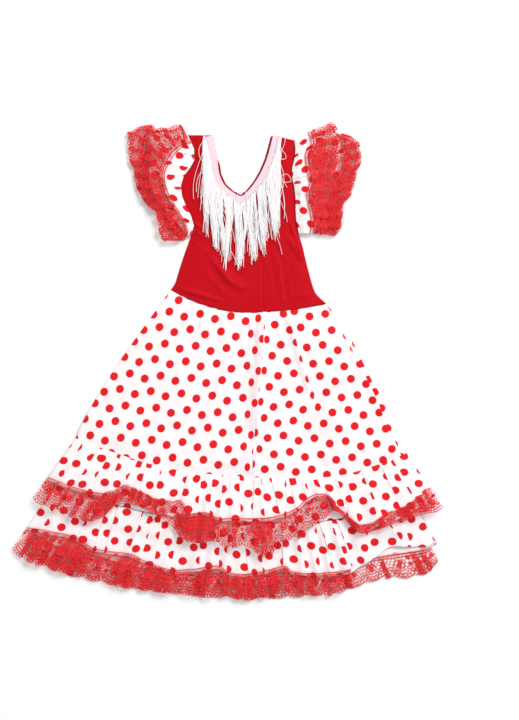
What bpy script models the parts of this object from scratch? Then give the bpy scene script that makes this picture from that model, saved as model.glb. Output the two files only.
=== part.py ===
"""A child's flamenco dress, laid flat on its back and seen from above.

Every table is in millimetres: x runs to the right, y towards the neck and z up from the surface
that the dress lies on. Each piece of cloth or lace is a closed wall over a grid of points, and its
underside is worked out from what it lies on.
"""

import math
from bisect import bisect_right

import bpy
from mathutils import Vector

MM = 0.001

# Walls and the gaps between them
WALL = 1.0
SEAM = 0.3
LACE_LIFT = 0.8

# What the tables' centre is moved by, so that the dress's box is centred on the origin
CENTRE_X = 0.2
CENTRE_Y = 4.9

# Half fronts of the bodice from the waist to the shoulder, row by row:
# outer x, outer y, inner x, inner y. The tenth row is the point of the V neck.
LEFT_ROWS = (
    (-102, 129, 61, 91),
    (-94, 141, 60, 110),
    (-88, 160, 60, 132),
    (-80, 185, 60, 157),
    (-73, 205, 60, 180),
    (-67, 222, 56, 203),
    (-61, 241, 50, 225),
    (-66, 258, 42, 247),
    (-75, 276, 31, 270),
    (-82, 293, 21, 293),
    (-84, 311, 5, 301),
    (-79, 328, -9, 314),
    (-68, 342, -17, 332),
    (-60, 357, -20, 353),
    (-61, 376, -25, 378),
    (-72, 400, -28, 399),
)
RIGHT_ROWS = (
    (170, 105, 61, 91),
    (154, 120, 60, 110),
    (147, 134, 60, 132),
    (141, 155, 60, 157),
    (134, 182, 60, 180),
    (129, 204, 56, 203),
    (122, 227, 50, 225),
    (117, 252, 42, 247),
    (116, 272, 31, 270),
    (116, 291, 21, 293),
    (114, 307, 33, 302),
    (110, 325, 46, 318),
    (110, 342, 57, 337),
    (114, 357, 66, 358),
    (116, 375, 72, 379),
    (114, 391, 77, 399),
)
ARMHOLE_ROW = 6
NECK_ROW = 9
BACK_NECK_RISE = 2.5
LEFT_WAIST_SAG = 14.0
RIGHT_WAIST_SAG = 3.0

# Columns of the grids that meet at the waist, and rows down the skirt
FRONT_COLUMNS = 8
BACK_COLUMNS_LEFT = 6
BACK_COLUMNS_RIGHT = 4
SKIRT_ROWS = 13

# How far a front stands off the back inside its seams, and how soon after the seam
ROOM = 1.5
ROOM_REACH = 25.0

# Edges of the skirt's gores, from the waist down: x, y
LEFT_SIDE = ((-102, 129), (-138, 80), (-187, 11), (-228, -52), (-257, -104), (-271, -136), (-301, -200))
CENTRE_FRONT = ((61, 91), (59, 20), (53, -34), (48, -90), (42, -160), (38, -275))
RIGHT_SIDE = (
    (170, 105), (196, 60), (215, 25), (240, -25), (257, -60), (280, -116), (294, -144), (322, -218),
)
RIGHT_SIDE_BACK = (
    (170, 105), (201, 67), (224, 24), (248, -25), (268, -60), (290, -116), (304, -144), (326, -218),
)

# Folds that lie along the cloth: start x, start y, end x, end y, height, half width
BODICE_CREASES = (
    (-22, 172, 30, 127, 2.0, 9),
    (-12, 152, 28, 126, 1.5, 7),
    (-73, 127, -33, 115, 1.5, 8),
    (105, 221, 130, 179, 2.5, 9),
    (-68, 233, -50, 225, 1.5, 8),
    (80, 197, 91, 125, 1.0, 9),
)
SKIRT_FOLDS = (
    (61, 90, 45, -134, 4.0, 15),
    (101, 90, 145, -57, 3.5, 12),
    (203, 50, 282, -116, 3.0, 12),
    (-42, 85, -138, -143, 2.5, 26),
    (10, 85, -37, -172, 2.5, 24),
    (142, 76, 203, -169, 2.5, 26),
    (-86, 59, -208, -116, 2.0, 22),
)

# Share of a fold's length over which it rises at each end
FOLD_TAPER = 0.15

# The point that the folds of the skirt and its ruffles fan out from
APEX = (19.0, 269.0)

# Lines across the skirt, from left to right: x, y
UPPER_SEAM = (
    (-270, -130), (-208, -153), (-144, -174), (-58, -191), (16, -197),
    (124, -200), (186, -197), (233, -186), (275, -171), (308, -158),
)
UPPER_HEM = (
    (-322, -204), (-294, -214), (-270, -223), (-231, -232), (-196, -234), (-170, -237), (-150, -246),
    (-124, -258), (-94, -269), (-68, -269), (-38, -267), (-21, -276), (10, -277), (65, -276), (89, -272),
    (121, -258), (138, -242), (159, -234), (178, -239), (196, -258), (214, -279), (231, -290),
    (262, -283), (285, -275), (312, -266), (336, -250), (359, -232),
)
UPPER_LACE_TOP = (
    (-324, -204), (-294, -214), (-270, -221), (-231, -232), (-206, -222), (-180, -213), (-150, -226),
    (-114, -240), (-88, -239), (-70, -255), (-51, -263), (-21, -276), (26, -276), (82, -274),
    (112, -265), (138, -241), (164, -230), (178, -237), (196, -255), (214, -272), (231, -281),
    (252, -276), (278, -260), (315, -246), (332, -230), (355, -211),
)
UPPER_LACE_LOW = (
    (-338, -241), (-304, -251), (-264, -270), (-242, -274), (-217, -265), (-202, -249), (-182, -244),
    (-164, -246), (-144, -255), (-117, -269), (-98, -284), (-80, -304), (-47, -311), (-28, -307),
    (-4, -318), (38, -319), (53, -332), (75, -330), (90, -311), (128, -300), (142, -284), (163, -272),
    (180, -256), (196, -262), (214, -284), (231, -295), (262, -288), (285, -279), (312, -272),
    (336, -263), (364, -258),
)
LOWER_SEAM = (
    (-301, -200), (-234, -234), (-161, -256), (-68, -270),
    (38, -275), (177, -274), (256, -253), (326, -218),
)
LOWER_HEM = (
    (-359, -293), (-329, -297), (-294, -304), (-266, -312), (-243, -328), (-205, -336), (-172, -340),
    (-152, -351), (-103, -367), (-52, -365), (-21, -361), (4, -374), (33, -375), (75, -367), (100, -361),
    (110, -370), (140, -374), (196, -370), (212, -367), (231, -355), (256, -340), (282, -322),
    (318, -321), (348, -321),
)
LOWER_HEM_BACK = (
    (-354, -291), (-294, -325), (-231, -339), (-187, -353), (-145, -360), (-103, -363), (37, -368),
    (194, -358), (240, -344), (292, -335), (348, -326),
)
LOWER_LACE_LOW = (
    (-373, -332), (-327, -353), (-294, -362), (-261, -367), (-231, -377), (-194, -388), (-164, -393),
    (-121, -398), (-84, -402), (-47, -407), (-4, -404), (19, -412), (54, -409), (86, -400), (112, -399),
    (149, -405), (182, -404), (203, -395), (219, -377),
)
LOWER_LACE_BACK_LOW = (
    (-366, -328), (-294, -365), (-231, -381), (-164, -393), (-84, -403), (-4, -409), (54, -410),
    (149, -405), (203, -395), (248, -382), (271, -375), (315, -374), (348, -365), (364, -347),
)

# Angles about the apex that the ruffles reach, in degrees from straight down
UPPER_SPAN = (-35.7, 34.4)
LOWER_SPAN = (-33.9, 30.6)
LOWER_LACE_SPAN = (-33.0, 17.2)
LOWER_LACE_BACK_SPAN = (-32.6, 29.6)
SIDE_FADE = 3.0

# Ruffle waves: how many, their height at the hem, and how much of it there is at the seam
UPPER_WAVES = 22
UPPER_WAVE_HEIGHT = 5.5
LOWER_WAVES = 20
LOWER_WAVE_HEIGHT = 5.5
BACK_WAVES = 12
BACK_COLUMNS = 48
BACK_WAVE_HEIGHT = 1.0
SEAM_SHARE = 0.25
LACE_OVERLAP = 3.0
# How far the waves drift along a ruffle, and how their height swells: size, rate and start
WAVE_DRIFTS = ((0.55, 9.0, 0.6), (0.35, 23.0, 2.0))
WAVE_SWELL = (0.28, 17.0, 1.0)
SCALLOP_DEPTH = 2.5
SCALLOPS = 26

# Heights of the layers under and over the skirt's hem
BACK_LIFT = 3.0
LIFT_START = -75.0
LIFT_END = -32.0
BACK_FALL_START = 112.0
BACK_FALL_END = 136.0
UPPER_BACK_DEPTH = 72.0
UPPER_BACK_LACE = 34.0
SKIRT_TOP = BACK_LIFT + WALL + SEAM + WALL
UPPER_CREST = 11.0

# Shares of a ruffle's depth over which the front one rises and the back one drops
CREST_SHARE = 0.6
BACK_DROP_SHARE = 0.5

# Grid of the ruffles: columns for each wave, and rows across a ruffle and its lace
WAVE_COLUMNS = 5
UPPER_RUFFLE_ROWS = 3
LOWER_RUFFLE_ROWS = 4
LACE_ROWS = 1
LEAST_BAND = 2.0

# Sleeves, from the shoulder down to the underarm: x, y
LEFT_SLEEVE = {
    "header": (
        (-66, 386), (-98, 372), (-116, 346), (-120, 330), (-116, 309), (-105, 287), (-94, 269),
        (-82, 251), (-74, 233), (-73, 224),
    ),
    "lace": (
        (-74, 398), (-86, 416), (-107, 409), (-133, 410), (-138, 386), (-145, 356), (-154, 326),
        (-150, 298), (-135, 272), (-122, 248), (-117, 218), (-79, 216),
    ),
    "under_header": (
        (-121, 405), (-144, 403), (-142, 381), (-140, 360), (-144, 335), (-138, 307), (-124, 283),
        (-107, 262), (-89, 241), (-75, 223),
    ),
    "under_lace": (
        (-138, 419), (-176, 403), (-175, 379), (-172, 354), (-164, 328), (-159, 304), (-142, 277),
        (-119, 262), (-107, 237), (-86, 218),
    ),
}
RIGHT_SLEEVE = {
    "header": (
        (144, 410), (150, 386), (138, 368), (140, 353), (144, 332), (147, 314), (140, 298),
        (144, 277), (150, 249), (147, 227),
    ),
    "lace": (
        (182, 423), (189, 398), (191, 374), (189, 351), (187, 328), (187, 304), (189, 277),
        (196, 251), (188, 223),
    ),
    "under_header": (
        (191, 403), (199, 396), (200, 358), (192, 330), (184, 304), (172, 276), (161, 251), (150, 227),
    ),
    "under_lace": (
        (200, 402), (214, 396), (228, 382), (229, 353), (222, 332), (212, 296), (198, 276),
        (197, 251), (184, 223),
    ),
}
TIER_LEVELS = {"back_top": 0.0, "back_under": 1.3, "under": 2.6, "top": 3.9}
TOP_TIER_CREST = 8.0
TOP_TIER_WAVES = 8
UNDER_TIER_WAVES = 6
TOP_TIER_WAVE_HEIGHT = 3.0
UNDER_TIER_WAVE_HEIGHT = 1.5
# How far a tier's waves drift, and how their height swells: size and rate
TIER_DRIFT = (0.3, 7.0)
TIER_SWELL = (0.3, 11.0)
LACE_START = 0.9
BACK_TIER_SHARE = 0.96
TIER_CREST_SHARE = 0.45
TIER_END_SHARE = 0.06
# The top tier starts this share of the way down the armhole, and keeps clear up to the second one
TOP_TIER_START = 0.06
TOP_TIER_CLEAR = 0.08
# Each tier: columns, rows, share of its outline's depth
TIERS = {
    "top": (30, 3, 1.0),
    "under": (20, 2, 1.0),
    "back_top": (10, 1, BACK_TIER_SHARE),
    "back_under": (10, 1, BACK_TIER_SHARE),
}

# The V neck's tape: its lower edge, from the left shoulder round to the right one
TAPE_OUTER = (
    (-44, 396), (-38, 374), (-33, 351), (-30, 328), (-19, 306), (-2, 291), (21, 279),
    (40, 291), (58, 312), (72, 337), (82, 365), (87, 382), (90, 395),
)
STRANDS = 48
STRAND_SHARE = 0.75
STRAND_LENGTH = 118.0
STRAND_VARIATION = 7.0
# How fast the strands' lengths vary from one to the next
STRAND_RATES = (2.4, 0.9)
STRAND_RINGS = 3
STRAND_TAPER = 0.35
STRAND_RISE = 2.0
# Sideways lean of the strands' ends: share of the way round the V, lean
STRAND_LEAN = ((0.0, -6.0), (0.3, -2.0), (0.5, 0.0), (0.7, 8.0), (0.85, 12.0), (1.0, 8.0))

# Edges sharper than this many degrees are shaded as sharp
SHARP_ANGLE = 50.0

# Principled colours: red, green, blue, roughness
FINISHES = {
    "bodice_red": (0.62, 0.012, 0.02, 0.55),
    "dotted_cotton": (0.93, 0.86, 0.86, 0.85),
    "lace_red": (0.72, 0.03, 0.04, 0.8),
    "fringe_white": (0.9, 0.88, 0.88, 0.6),
}


def ease(share):
    """Smooth step from 0 to 1 while the share goes from 0 to 1."""
    share = min(max(share, 0.0), 1.0)
    return share * share * (3.0 - 2.0 * share)


def mix(first, second, share):
    """Value at a share of the way from the first to the second."""
    return first + (second - first) * share


def smooth_value(knots, values, place):
    """Value at a place on a smooth curve through the values at rising knots."""
    place = min(max(place, knots[0]), knots[-1])
    index = min(max(bisect_right(knots, place) - 1, 0), len(knots) - 2)

    def slope(i):
        before = max(i - 1, 0)
        after = min(i + 1, len(knots) - 1)
        return (values[after] - values[before]) / (knots[after] - knots[before])

    span = knots[index + 1] - knots[index]
    t = (place - knots[index]) / span
    near = values[index] * (2 * t ** 3 - 3 * t ** 2 + 1)
    near += slope(index) * (span * (t ** 3 - 2 * t ** 2 + t))
    far = values[index + 1] * (3 * t ** 2 - 2 * t ** 3)
    far += slope(index + 1) * (span * (t ** 3 - t ** 2))
    return near + far


class Edge:
    """A smooth line through a short table of points, read by its fraction of length."""

    def __init__(self, points):
        self.points = [Vector(point) for point in points]
        self.knots = [0.0]
        for start, end in zip(self.points, self.points[1:]):
            self.knots.append(self.knots[-1] + (end - start).length)

    def at(self, fraction):
        return smooth_value(self.knots, self.points, fraction * self.knots[-1])


class Reach:
    """Distance from the apex of a line across the skirt, read by the angle about the apex."""

    def __init__(self, points):
        polar = sorted(to_fan(x, y) for x, y in points)
        self.angles = [angle for angle, _ in polar]
        self.radii = [radius for _, radius in polar]

    def at(self, angle):
        return smooth_value(self.angles, self.radii, angle)


def to_fan(x, y):
    """Angle in degrees from straight down, and distance, of a point about the apex."""
    across = x - APEX[0]
    down = APEX[1] - y
    return math.degrees(math.atan2(across, down)), math.hypot(across, down)


def from_fan(angle, radius):
    """Point at an angle and a distance from the apex."""
    turn = math.radians(angle)
    return APEX[0] + radius * math.sin(turn), APEX[1] - radius * math.cos(turn)


def ridge(x, y, table):
    """Height of the folds of a table at a point."""
    height = 0.0
    for x0, y0, x1, y1, top, half_width in table:
        along = Vector((x1 - x0, y1 - y0))
        offset = Vector((x - x0, y - y0))
        share = offset.dot(along) / along.length_squared
        distance = abs(along.x * offset.y - along.y * offset.x) / along.length
        if distance < half_width and 0.0 < share < 1.0:
            ends = ease(min(share, 1.0 - share) / FOLD_TAPER)
            height += top * ends * (1.0 - (distance / half_width) ** 2) ** 2
    return height


def material(name):
    """Principled material of a finish."""
    if name in bpy.data.materials:
        return bpy.data.materials[name]
    red, green, blue, roughness = FINISHES[name]
    made = bpy.data.materials.new(name)
    made.use_nodes = True
    shader = made.node_tree.nodes["Principled BSDF"]
    shader.inputs["Base Color"].default_value = (red, green, blue, 1.0)
    shader.inputs["Roughness"].default_value = roughness
    shader.inputs["Metallic"].default_value = 0.0
    return made


def make_object(name, finish, points, faces):
    """Object from points in millimetres and faces, with its faces turned outwards."""
    placed = [((x - CENTRE_X) * MM, (y - CENTRE_Y) * MM, z * MM) for x, y, z in points]
    mesh = bpy.data.meshes.new(name)
    mesh.from_pydata(placed, [], faces)
    mesh.materials.append(material(finish))
    if signed_volume(placed, faces) < 0.0:
        mesh.flip_normals()
    mesh.shade_smooth()
    mesh.set_sharp_from_angle(angle=math.radians(SHARP_ANGLE))
    made = bpy.data.objects.new(name, mesh)
    bpy.context.scene.collection.objects.link(made)
    return made


def signed_volume(points, faces):
    """Volume inside the faces, negative where they point inwards."""
    total = 0.0
    for face in faces:
        first = Vector(points[face[0]])
        for second, third in zip(face[1:], face[2:]):
            total += first.dot(Vector(points[second]).cross(Vector(points[third])))
    return total / 6.0


def cloth(name, finish, columns, rows, place):
    """Closed wall over a grid, where place(u, v) gives a point of its underside."""
    across = columns + 1
    under = [place(i / columns, j / rows) for j in range(rows + 1) for i in range(across)]
    points = under + [(x, y, z + WALL) for x, y, z in under]
    lift = len(under)
    faces = []
    for j in range(rows):
        for i in range(columns):
            a = j * across + i
            b, c, d = a + 1, a + across + 1, a + across
            faces += [(a, c, b), (a, d, c)]
            faces += [(a + lift, b + lift, c + lift), (a + lift, c + lift, d + lift)]
    rim = list(range(across))
    rim += [j * across + columns for j in range(1, rows + 1)]
    rim += [rows * across + i for i in range(columns - 1, -1, -1)]
    rim += [j * across for j in range(rows - 1, 0, -1)]
    for a, b in zip(rim, rim[1:] + rim[:1]):
        faces += [(a, b, b + lift), (a, b + lift, a + lift)]
    return make_object(name, finish, points, faces)


def bodice_place(rows, sag, side, back):
    """Function that places a half bodice: u from the side to the middle, v from waist to shoulder."""
    last = len(rows) - 1

    def place(u, v):
        index = round(v * last)
        outer_x, outer_y, inner_x, inner_y = rows[index]
        inner_x -= side * SEAM / 2
        if back and index == NECK_ROW:
            inner_y += BACK_NECK_RISE
        if back and index > NECK_ROW:
            inner_x += side * BACK_NECK_RISE
        x = mix(outer_x, inner_x, u)
        y = mix(outer_y, inner_y, u)
        y -= sag * 4.0 * u * (1.0 - u) * ease(1.0 - index / ARMHOLE_ROW)
        if back:
            return x, y, 0.0
        inside = abs(inner_x - outer_x) * u
        room = ROOM * ease(inside / ROOM_REACH)
        return x, y, WALL + SEAM + room + ridge(x, y, BODICE_CREASES)

    return place


def make_bodice():
    """Two fronts and two backs, each from its side seam and armhole to the middle."""
    halves = (
        ("left", LEFT_ROWS, LEFT_WAIST_SAG, 1.0, BACK_COLUMNS_LEFT),
        ("right", RIGHT_ROWS, RIGHT_WAIST_SAG, -1.0, BACK_COLUMNS_RIGHT),
    )
    for label, rows, sag, side, back_columns in halves:
        last = len(rows) - 1
        front = bodice_place(rows, sag, side, False)
        back = bodice_place(rows, sag, side, True)
        cloth(f"bodice_front_{label}", "bodice_red", FRONT_COLUMNS, last, front)
        cloth(f"bodice_back_{label}", "bodice_red", back_columns, last, back)


def patch(left, right, top, bottom):
    """Function that fills the space between four edges, u from left to right and v from top down."""
    corners = (left(0.0), right(0.0), left(1.0), right(1.0))

    def place(u, v):
        ruled = mix(top(u), bottom(u), v) + mix(left(v), right(v), u)
        bilinear = mix(mix(corners[0], corners[1], u), mix(corners[2], corners[3], u), v)
        return ruled - bilinear

    return place


def waist(rows, sag):
    """Waist edge of a half skirt from its side to the middle, just below the bodice's own edge."""
    outer = Vector(rows[0][:2])
    inner = Vector(rows[0][2:])

    def at(u):
        point = mix(outer, inner, u)
        return Vector((point.x, point.y - sag * 4.0 * u * (1.0 - u) - SEAM))

    return at


def back_lift(x, y):
    """Height of the skirt back's underside, which rises over the back ruffle."""
    angle, radius = to_fan(x, y)
    below = radius - UPPER_SEAM_REACH.at(angle)
    return BACK_LIFT * ease((below - LIFT_START) / (LIFT_END - LIFT_START))


def hem_between(start, end):
    """Lower edge of a gore between two corners, along the line that the lower ruffle is sewn to."""
    first = to_fan(*start)[0]
    last = to_fan(*end)[0]

    def at(u):
        angle = mix(first, last, u)
        return Vector(from_fan(angle, LOWER_SEAM_REACH.at(angle)))

    return at


def skirt_front_place(side_edge, rows, sag, side):
    """Function that places a front gore, u from its side seam to the centre seam."""
    side_line = Edge(side_edge)
    centre_line = Edge(CENTRE_FRONT)
    waist_line = waist(rows, sag)
    flat = patch(side_line.at, centre_line.at, waist_line, hem_between(side_edge[-1], CENTRE_FRONT[-1]))

    def place(u, v):
        point = flat(u, v)
        width = (centre_line.at(v) - side_line.at(v)).length
        room = ROOM * ease(width * u / ROOM_REACH)
        x = point.x - side * u * SEAM / 2
        z = back_lift(point.x, point.y) + WALL + SEAM + room + ridge(point.x, point.y, SKIRT_FOLDS)
        return x, point.y, z

    return place


def make_skirt():
    """Two front gores on one back gore."""
    left = skirt_front_place(LEFT_SIDE, LEFT_ROWS, LEFT_WAIST_SAG, 1.0)
    right = skirt_front_place(RIGHT_SIDE, RIGHT_ROWS, RIGHT_WAIST_SAG, -1.0)
    cloth("skirt_front_left", "dotted_cotton", FRONT_COLUMNS, SKIRT_ROWS, left)
    cloth("skirt_front_right", "dotted_cotton", FRONT_COLUMNS, SKIRT_ROWS, right)

    left_waist = waist(LEFT_ROWS, LEFT_WAIST_SAG)
    right_waist = waist(RIGHT_ROWS, RIGHT_WAIST_SAG)
    columns = BACK_COLUMNS_LEFT + BACK_COLUMNS_RIGHT
    left_share = BACK_COLUMNS_LEFT / columns

    def back_waist(u):
        if u < left_share:
            return left_waist(u / left_share)
        return right_waist((1.0 - u) / (1.0 - left_share))

    hem = hem_between(LEFT_SIDE[-1], RIGHT_SIDE_BACK[-1])
    flat = patch(Edge(LEFT_SIDE).at, Edge(RIGHT_SIDE_BACK).at, back_waist, hem)

    def back(u, v):
        point = flat(u, v)
        return point.x, point.y, back_lift(point.x, point.y)

    cloth("skirt_back", "dotted_cotton", columns, SKIRT_ROWS, back)


def wave(angle, span, count):
    """Height from 0 to 1 of a ruffle's waves, unevenly spaced along the ruffle."""
    share = (angle - span[0]) / (span[1] - span[0])
    drift = sum(size * math.sin(rate * share + start) for size, rate, start in WAVE_DRIFTS)
    swell, swell_rate, swell_start = WAVE_SWELL
    uneven = 1.0 - swell + swell * math.sin(swell_rate * share + swell_start)
    return uneven * (0.5 - 0.5 * math.cos(2.0 * math.pi * (count * share + drift)))


def side_share(angle, span):
    """0 at a ruffle's side edges and 1 further in."""
    return ease((angle - span[0]) / SIDE_FADE) * ease((span[1] - angle) / SIDE_FADE)


def upper_level(angle, radius):
    """Height of the upper ruffle's underside."""
    seam = UPPER_SEAM_REACH.at(angle)
    depth = (radius - seam) / (UPPER_HEM_REACH.at(angle) - seam)
    depth = max(depth, 0.0)
    inner = side_share(angle, UPPER_SPAN)
    start = SKIRT_TOP + SEAM + ROOM * inner
    base = mix(start, mix(start, UPPER_CREST, inner), ease(depth / CREST_SHARE))
    height = UPPER_WAVE_HEIGHT * mix(SEAM_SHARE, 1.0, min(depth, 1.0)) * inner
    if depth <= 0.0:
        height = 0.0
    return base + height * wave(angle, UPPER_SPAN, UPPER_WAVES)


def lower_back_level(angle, radius):
    """Height of the lower back ruffle's underside: on the upper one, then down on the floor."""
    below = radius - UPPER_SEAM_REACH.at(angle)
    fall = ease((below - BACK_FALL_START) / (BACK_FALL_END - BACK_FALL_START))
    ripple = BACK_WAVE_HEIGHT * wave(angle, LOWER_SPAN, BACK_WAVES) * side_share(angle, LOWER_SPAN)
    return BACK_LIFT * (1.0 - fall) + ripple * fall


def lower_level(angle, radius):
    """Height of the lower front ruffle's underside."""
    seam = LOWER_SEAM_REACH.at(angle)
    depth = (radius - seam) / (LOWER_HEM_REACH.at(angle) - seam)
    inner = side_share(angle, LOWER_SPAN)
    below = radius - UPPER_SEAM_REACH.at(angle)
    fall = ease((below - BACK_FALL_START) / (BACK_FALL_END - BACK_FALL_START))
    base = BACK_LIFT * (1.0 - fall) + WALL + SEAM + ROOM * inner
    height = LOWER_WAVE_HEIGHT * mix(SEAM_SHARE, 1.0, min(depth, 1.0)) * inner
    if depth <= 0.0:
        height = 0.0
    return base + height * wave(angle, LOWER_SPAN, LOWER_WAVES)


def fan_band(span, start, end, level, scallops=0):
    """Function that places a strip between two distances from the apex, u along it and v outwards."""

    def place(u, v):
        angle = mix(span[0], span[1], u)
        inner = start(angle)
        outer = max(end(angle), inner + LEAST_BAND)
        if scallops:
            outer += SCALLOP_DEPTH * (abs(math.sin(math.pi * scallops * u)) - 0.5)
        radius = mix(inner, outer, v)
        x, y = from_fan(angle, radius)
        return x, y, level(angle, radius)

    return place


def make_upper_ruffle():
    """The upper ruffle and its lace, in front and behind."""
    columns = UPPER_WAVES * WAVE_COLUMNS
    front = fan_band(UPPER_SPAN, UPPER_SEAM_REACH.at, UPPER_HEM_REACH.at, upper_level)
    cloth("upper_ruffle_front", "dotted_cotton", columns, UPPER_RUFFLE_ROWS, front)

    def lace_level(angle, radius):
        return upper_level(angle, radius) + WALL + LACE_LIFT

    def lace_start(angle):
        hem = UPPER_HEM_REACH.at(angle) - LACE_OVERLAP
        return min(UPPER_LACE_TOP_REACH.at(angle), hem)

    lace = fan_band(UPPER_SPAN, lace_start, UPPER_LACE_LOW_REACH.at, lace_level, SCALLOPS)
    cloth("upper_lace_front", "lace_red", columns, LACE_ROWS, lace)

    def back_level(angle, radius):
        below = (radius - UPPER_SEAM_REACH.at(angle)) / UPPER_BACK_DEPTH
        drop = ease(below / BACK_DROP_SHARE)
        ripple = BACK_WAVE_HEIGHT * wave(angle, UPPER_SPAN, BACK_WAVES) * side_share(angle, UPPER_SPAN)
        return mix(BACK_LIFT - SEAM - WALL, ripple, drop)

    def back_hem(angle):
        return UPPER_SEAM_REACH.at(angle) + UPPER_BACK_DEPTH

    def back_lace_start(angle):
        return back_hem(angle) + SEAM

    def back_lace_end(angle):
        return back_hem(angle) + UPPER_BACK_LACE

    back = fan_band(UPPER_SPAN, UPPER_SEAM_REACH.at, back_hem, back_level)
    cloth("upper_ruffle_back", "dotted_cotton", BACK_COLUMNS, UPPER_RUFFLE_ROWS, back)
    back_lace = fan_band(UPPER_SPAN, back_lace_start, back_lace_end, back_level)
    cloth("upper_lace_back", "lace_red", BACK_COLUMNS, LACE_ROWS, back_lace)


def make_lower_ruffle():
    """The lower ruffle and its lace, in front and behind."""
    columns = LOWER_WAVES * WAVE_COLUMNS

    def seam(angle):
        return LOWER_SEAM_REACH.at(angle) + 2.0 * SEAM

    front = fan_band(LOWER_SPAN, seam, LOWER_HEM_REACH.at, lower_level)
    cloth("lower_ruffle_front", "dotted_cotton", columns, LOWER_RUFFLE_ROWS, front)

    def lace_level(angle, radius):
        return lower_level(angle, radius) + WALL + LACE_LIFT

    def lace_start(angle):
        return LOWER_HEM_REACH.at(angle) - LACE_OVERLAP

    span, lace_columns = matched_span(LOWER_SPAN, columns, LOWER_LACE_SPAN)
    lace = fan_band(span, lace_start, LOWER_LACE_LOW_REACH.at, lace_level, SCALLOPS)
    cloth("lower_lace_front", "lace_red", lace_columns, LACE_ROWS, lace)

    back = fan_band(LOWER_SPAN, seam, LOWER_HEM_BACK_REACH.at, lower_back_level)
    cloth("lower_ruffle_back", "dotted_cotton", BACK_COLUMNS, LOWER_RUFFLE_ROWS, back)

    def back_lace_start(angle):
        return LOWER_HEM_BACK_REACH.at(angle) + SEAM

    span, lace_columns = matched_span(LOWER_SPAN, BACK_COLUMNS, LOWER_LACE_BACK_SPAN)
    back_lace = fan_band(span, back_lace_start, LOWER_LACE_BACK_REACH.at, lower_back_level)
    cloth("lower_lace_back", "lace_red", lace_columns, LACE_ROWS, back_lace)


def matched_span(span, columns, part):
    """Part of a span that starts and ends on the grid of the whole, with its number of columns."""
    step = (span[1] - span[0]) / columns
    first = round((part[0] - span[0]) / step)
    last = round((part[1] - span[0]) / step)
    return (span[0] + first * step, span[0] + last * step), last - first


def polyline(points, fraction):
    """Point on straight runs between points, each run taking the same share of the fraction."""
    place = min(max(fraction, 0.0), 1.0) * (len(points) - 1)
    index = min(int(place), len(points) - 2)
    return mix(Vector(points[index]), Vector(points[index + 1]), place - index)


def tier_level(kind, u, v, waves, height):
    """Height of a sleeve tier's underside, u down the armhole and v outwards."""
    base = TIER_LEVELS[kind]
    if kind == "top":
        base = mix(base, TOP_TIER_CREST, ease(v / TIER_CREST_SHARE))
    drift, drift_rate = TIER_DRIFT
    swell, swell_rate = TIER_SWELL
    uneven = 1.0 - swell + swell * math.sin(swell_rate * u + waves)
    turns = waves * u + drift * math.sin(drift_rate * u)
    crest = uneven * (0.5 - 0.5 * math.cos(2.0 * math.pi * turns))
    ends = ease(u / TIER_END_SHARE) * ease((1.0 - u) / TIER_END_SHARE)
    return base + height * crest * ends * min(v, 1.0)


def sleeve_band(rows, outline, kind, lace, share=1.0):
    """Function that places a sleeve tier or its lace, u down the armhole and v outwards."""
    side = 1.0 if rows[0][0] < 0 else -1.0
    armhole = [(x - side * SEAM, y) for x, y, _, _ in reversed(rows[ARMHOLE_ROW - 1:])]
    under = kind in ("under", "back_under")
    header = Edge(outline["under_header" if under else "header"])
    edge = Edge(outline["under_lace" if under else "lace"])
    waves = UNDER_TIER_WAVES if under else TOP_TIER_WAVES
    height = {"top": TOP_TIER_WAVE_HEIGHT, "under": UNDER_TIER_WAVE_HEIGHT}.get(kind, 0.0)

    def place(u, v):
        inner = polyline(armhole, u)
        if kind == "top" and u < TOP_TIER_CLEAR:
            inner = polyline(armhole, mix(TOP_TIER_START, TOP_TIER_CLEAR, u / TOP_TIER_CLEAR))
        outer = mix(inner, header.at(u), share)
        if not lace:
            point = mix(inner, outer, v)
            return point.x, point.y, tier_level(kind, u, v, waves, height)
        overlap = LACE_START if height else 1.0
        start = mix(inner, outer, overlap)
        rim = mix(inner, edge.at(u), share)
        if not height:
            start += (rim - start).normalized() * SEAM
        point = mix(start, rim, v)
        level = tier_level(kind, u, mix(overlap, 1.0, v), waves, height)
        if height:
            level += WALL + LACE_LIFT
        return point.x, point.y, level

    return place


def make_sleeves():
    """Two tiers with lace on each armhole, in front and behind."""
    for label, rows, outline in (("left", LEFT_ROWS, LEFT_SLEEVE), ("right", RIGHT_ROWS, RIGHT_SLEEVE)):
        for kind, (columns, rows_out, share) in TIERS.items():
            name = f"sleeve_{label}_{kind}"
            tier = sleeve_band(rows, outline, kind, False, share)
            cloth(f"{name}_tier", "dotted_cotton", columns, rows_out, tier)
            lace = sleeve_band(rows, outline, kind, True, share)
            cloth(f"{name}_lace", "lace_red", columns, LACE_ROWS, lace)


def neck_line():
    """The V neck's edge from shoulder to shoulder, with a point for each of the tape's."""
    left = [row[2:] for row in reversed(LEFT_ROWS[NECK_ROW:])]
    right = [row[2:] for row in RIGHT_ROWS[NECK_ROW + 1:]]
    return left + right


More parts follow.
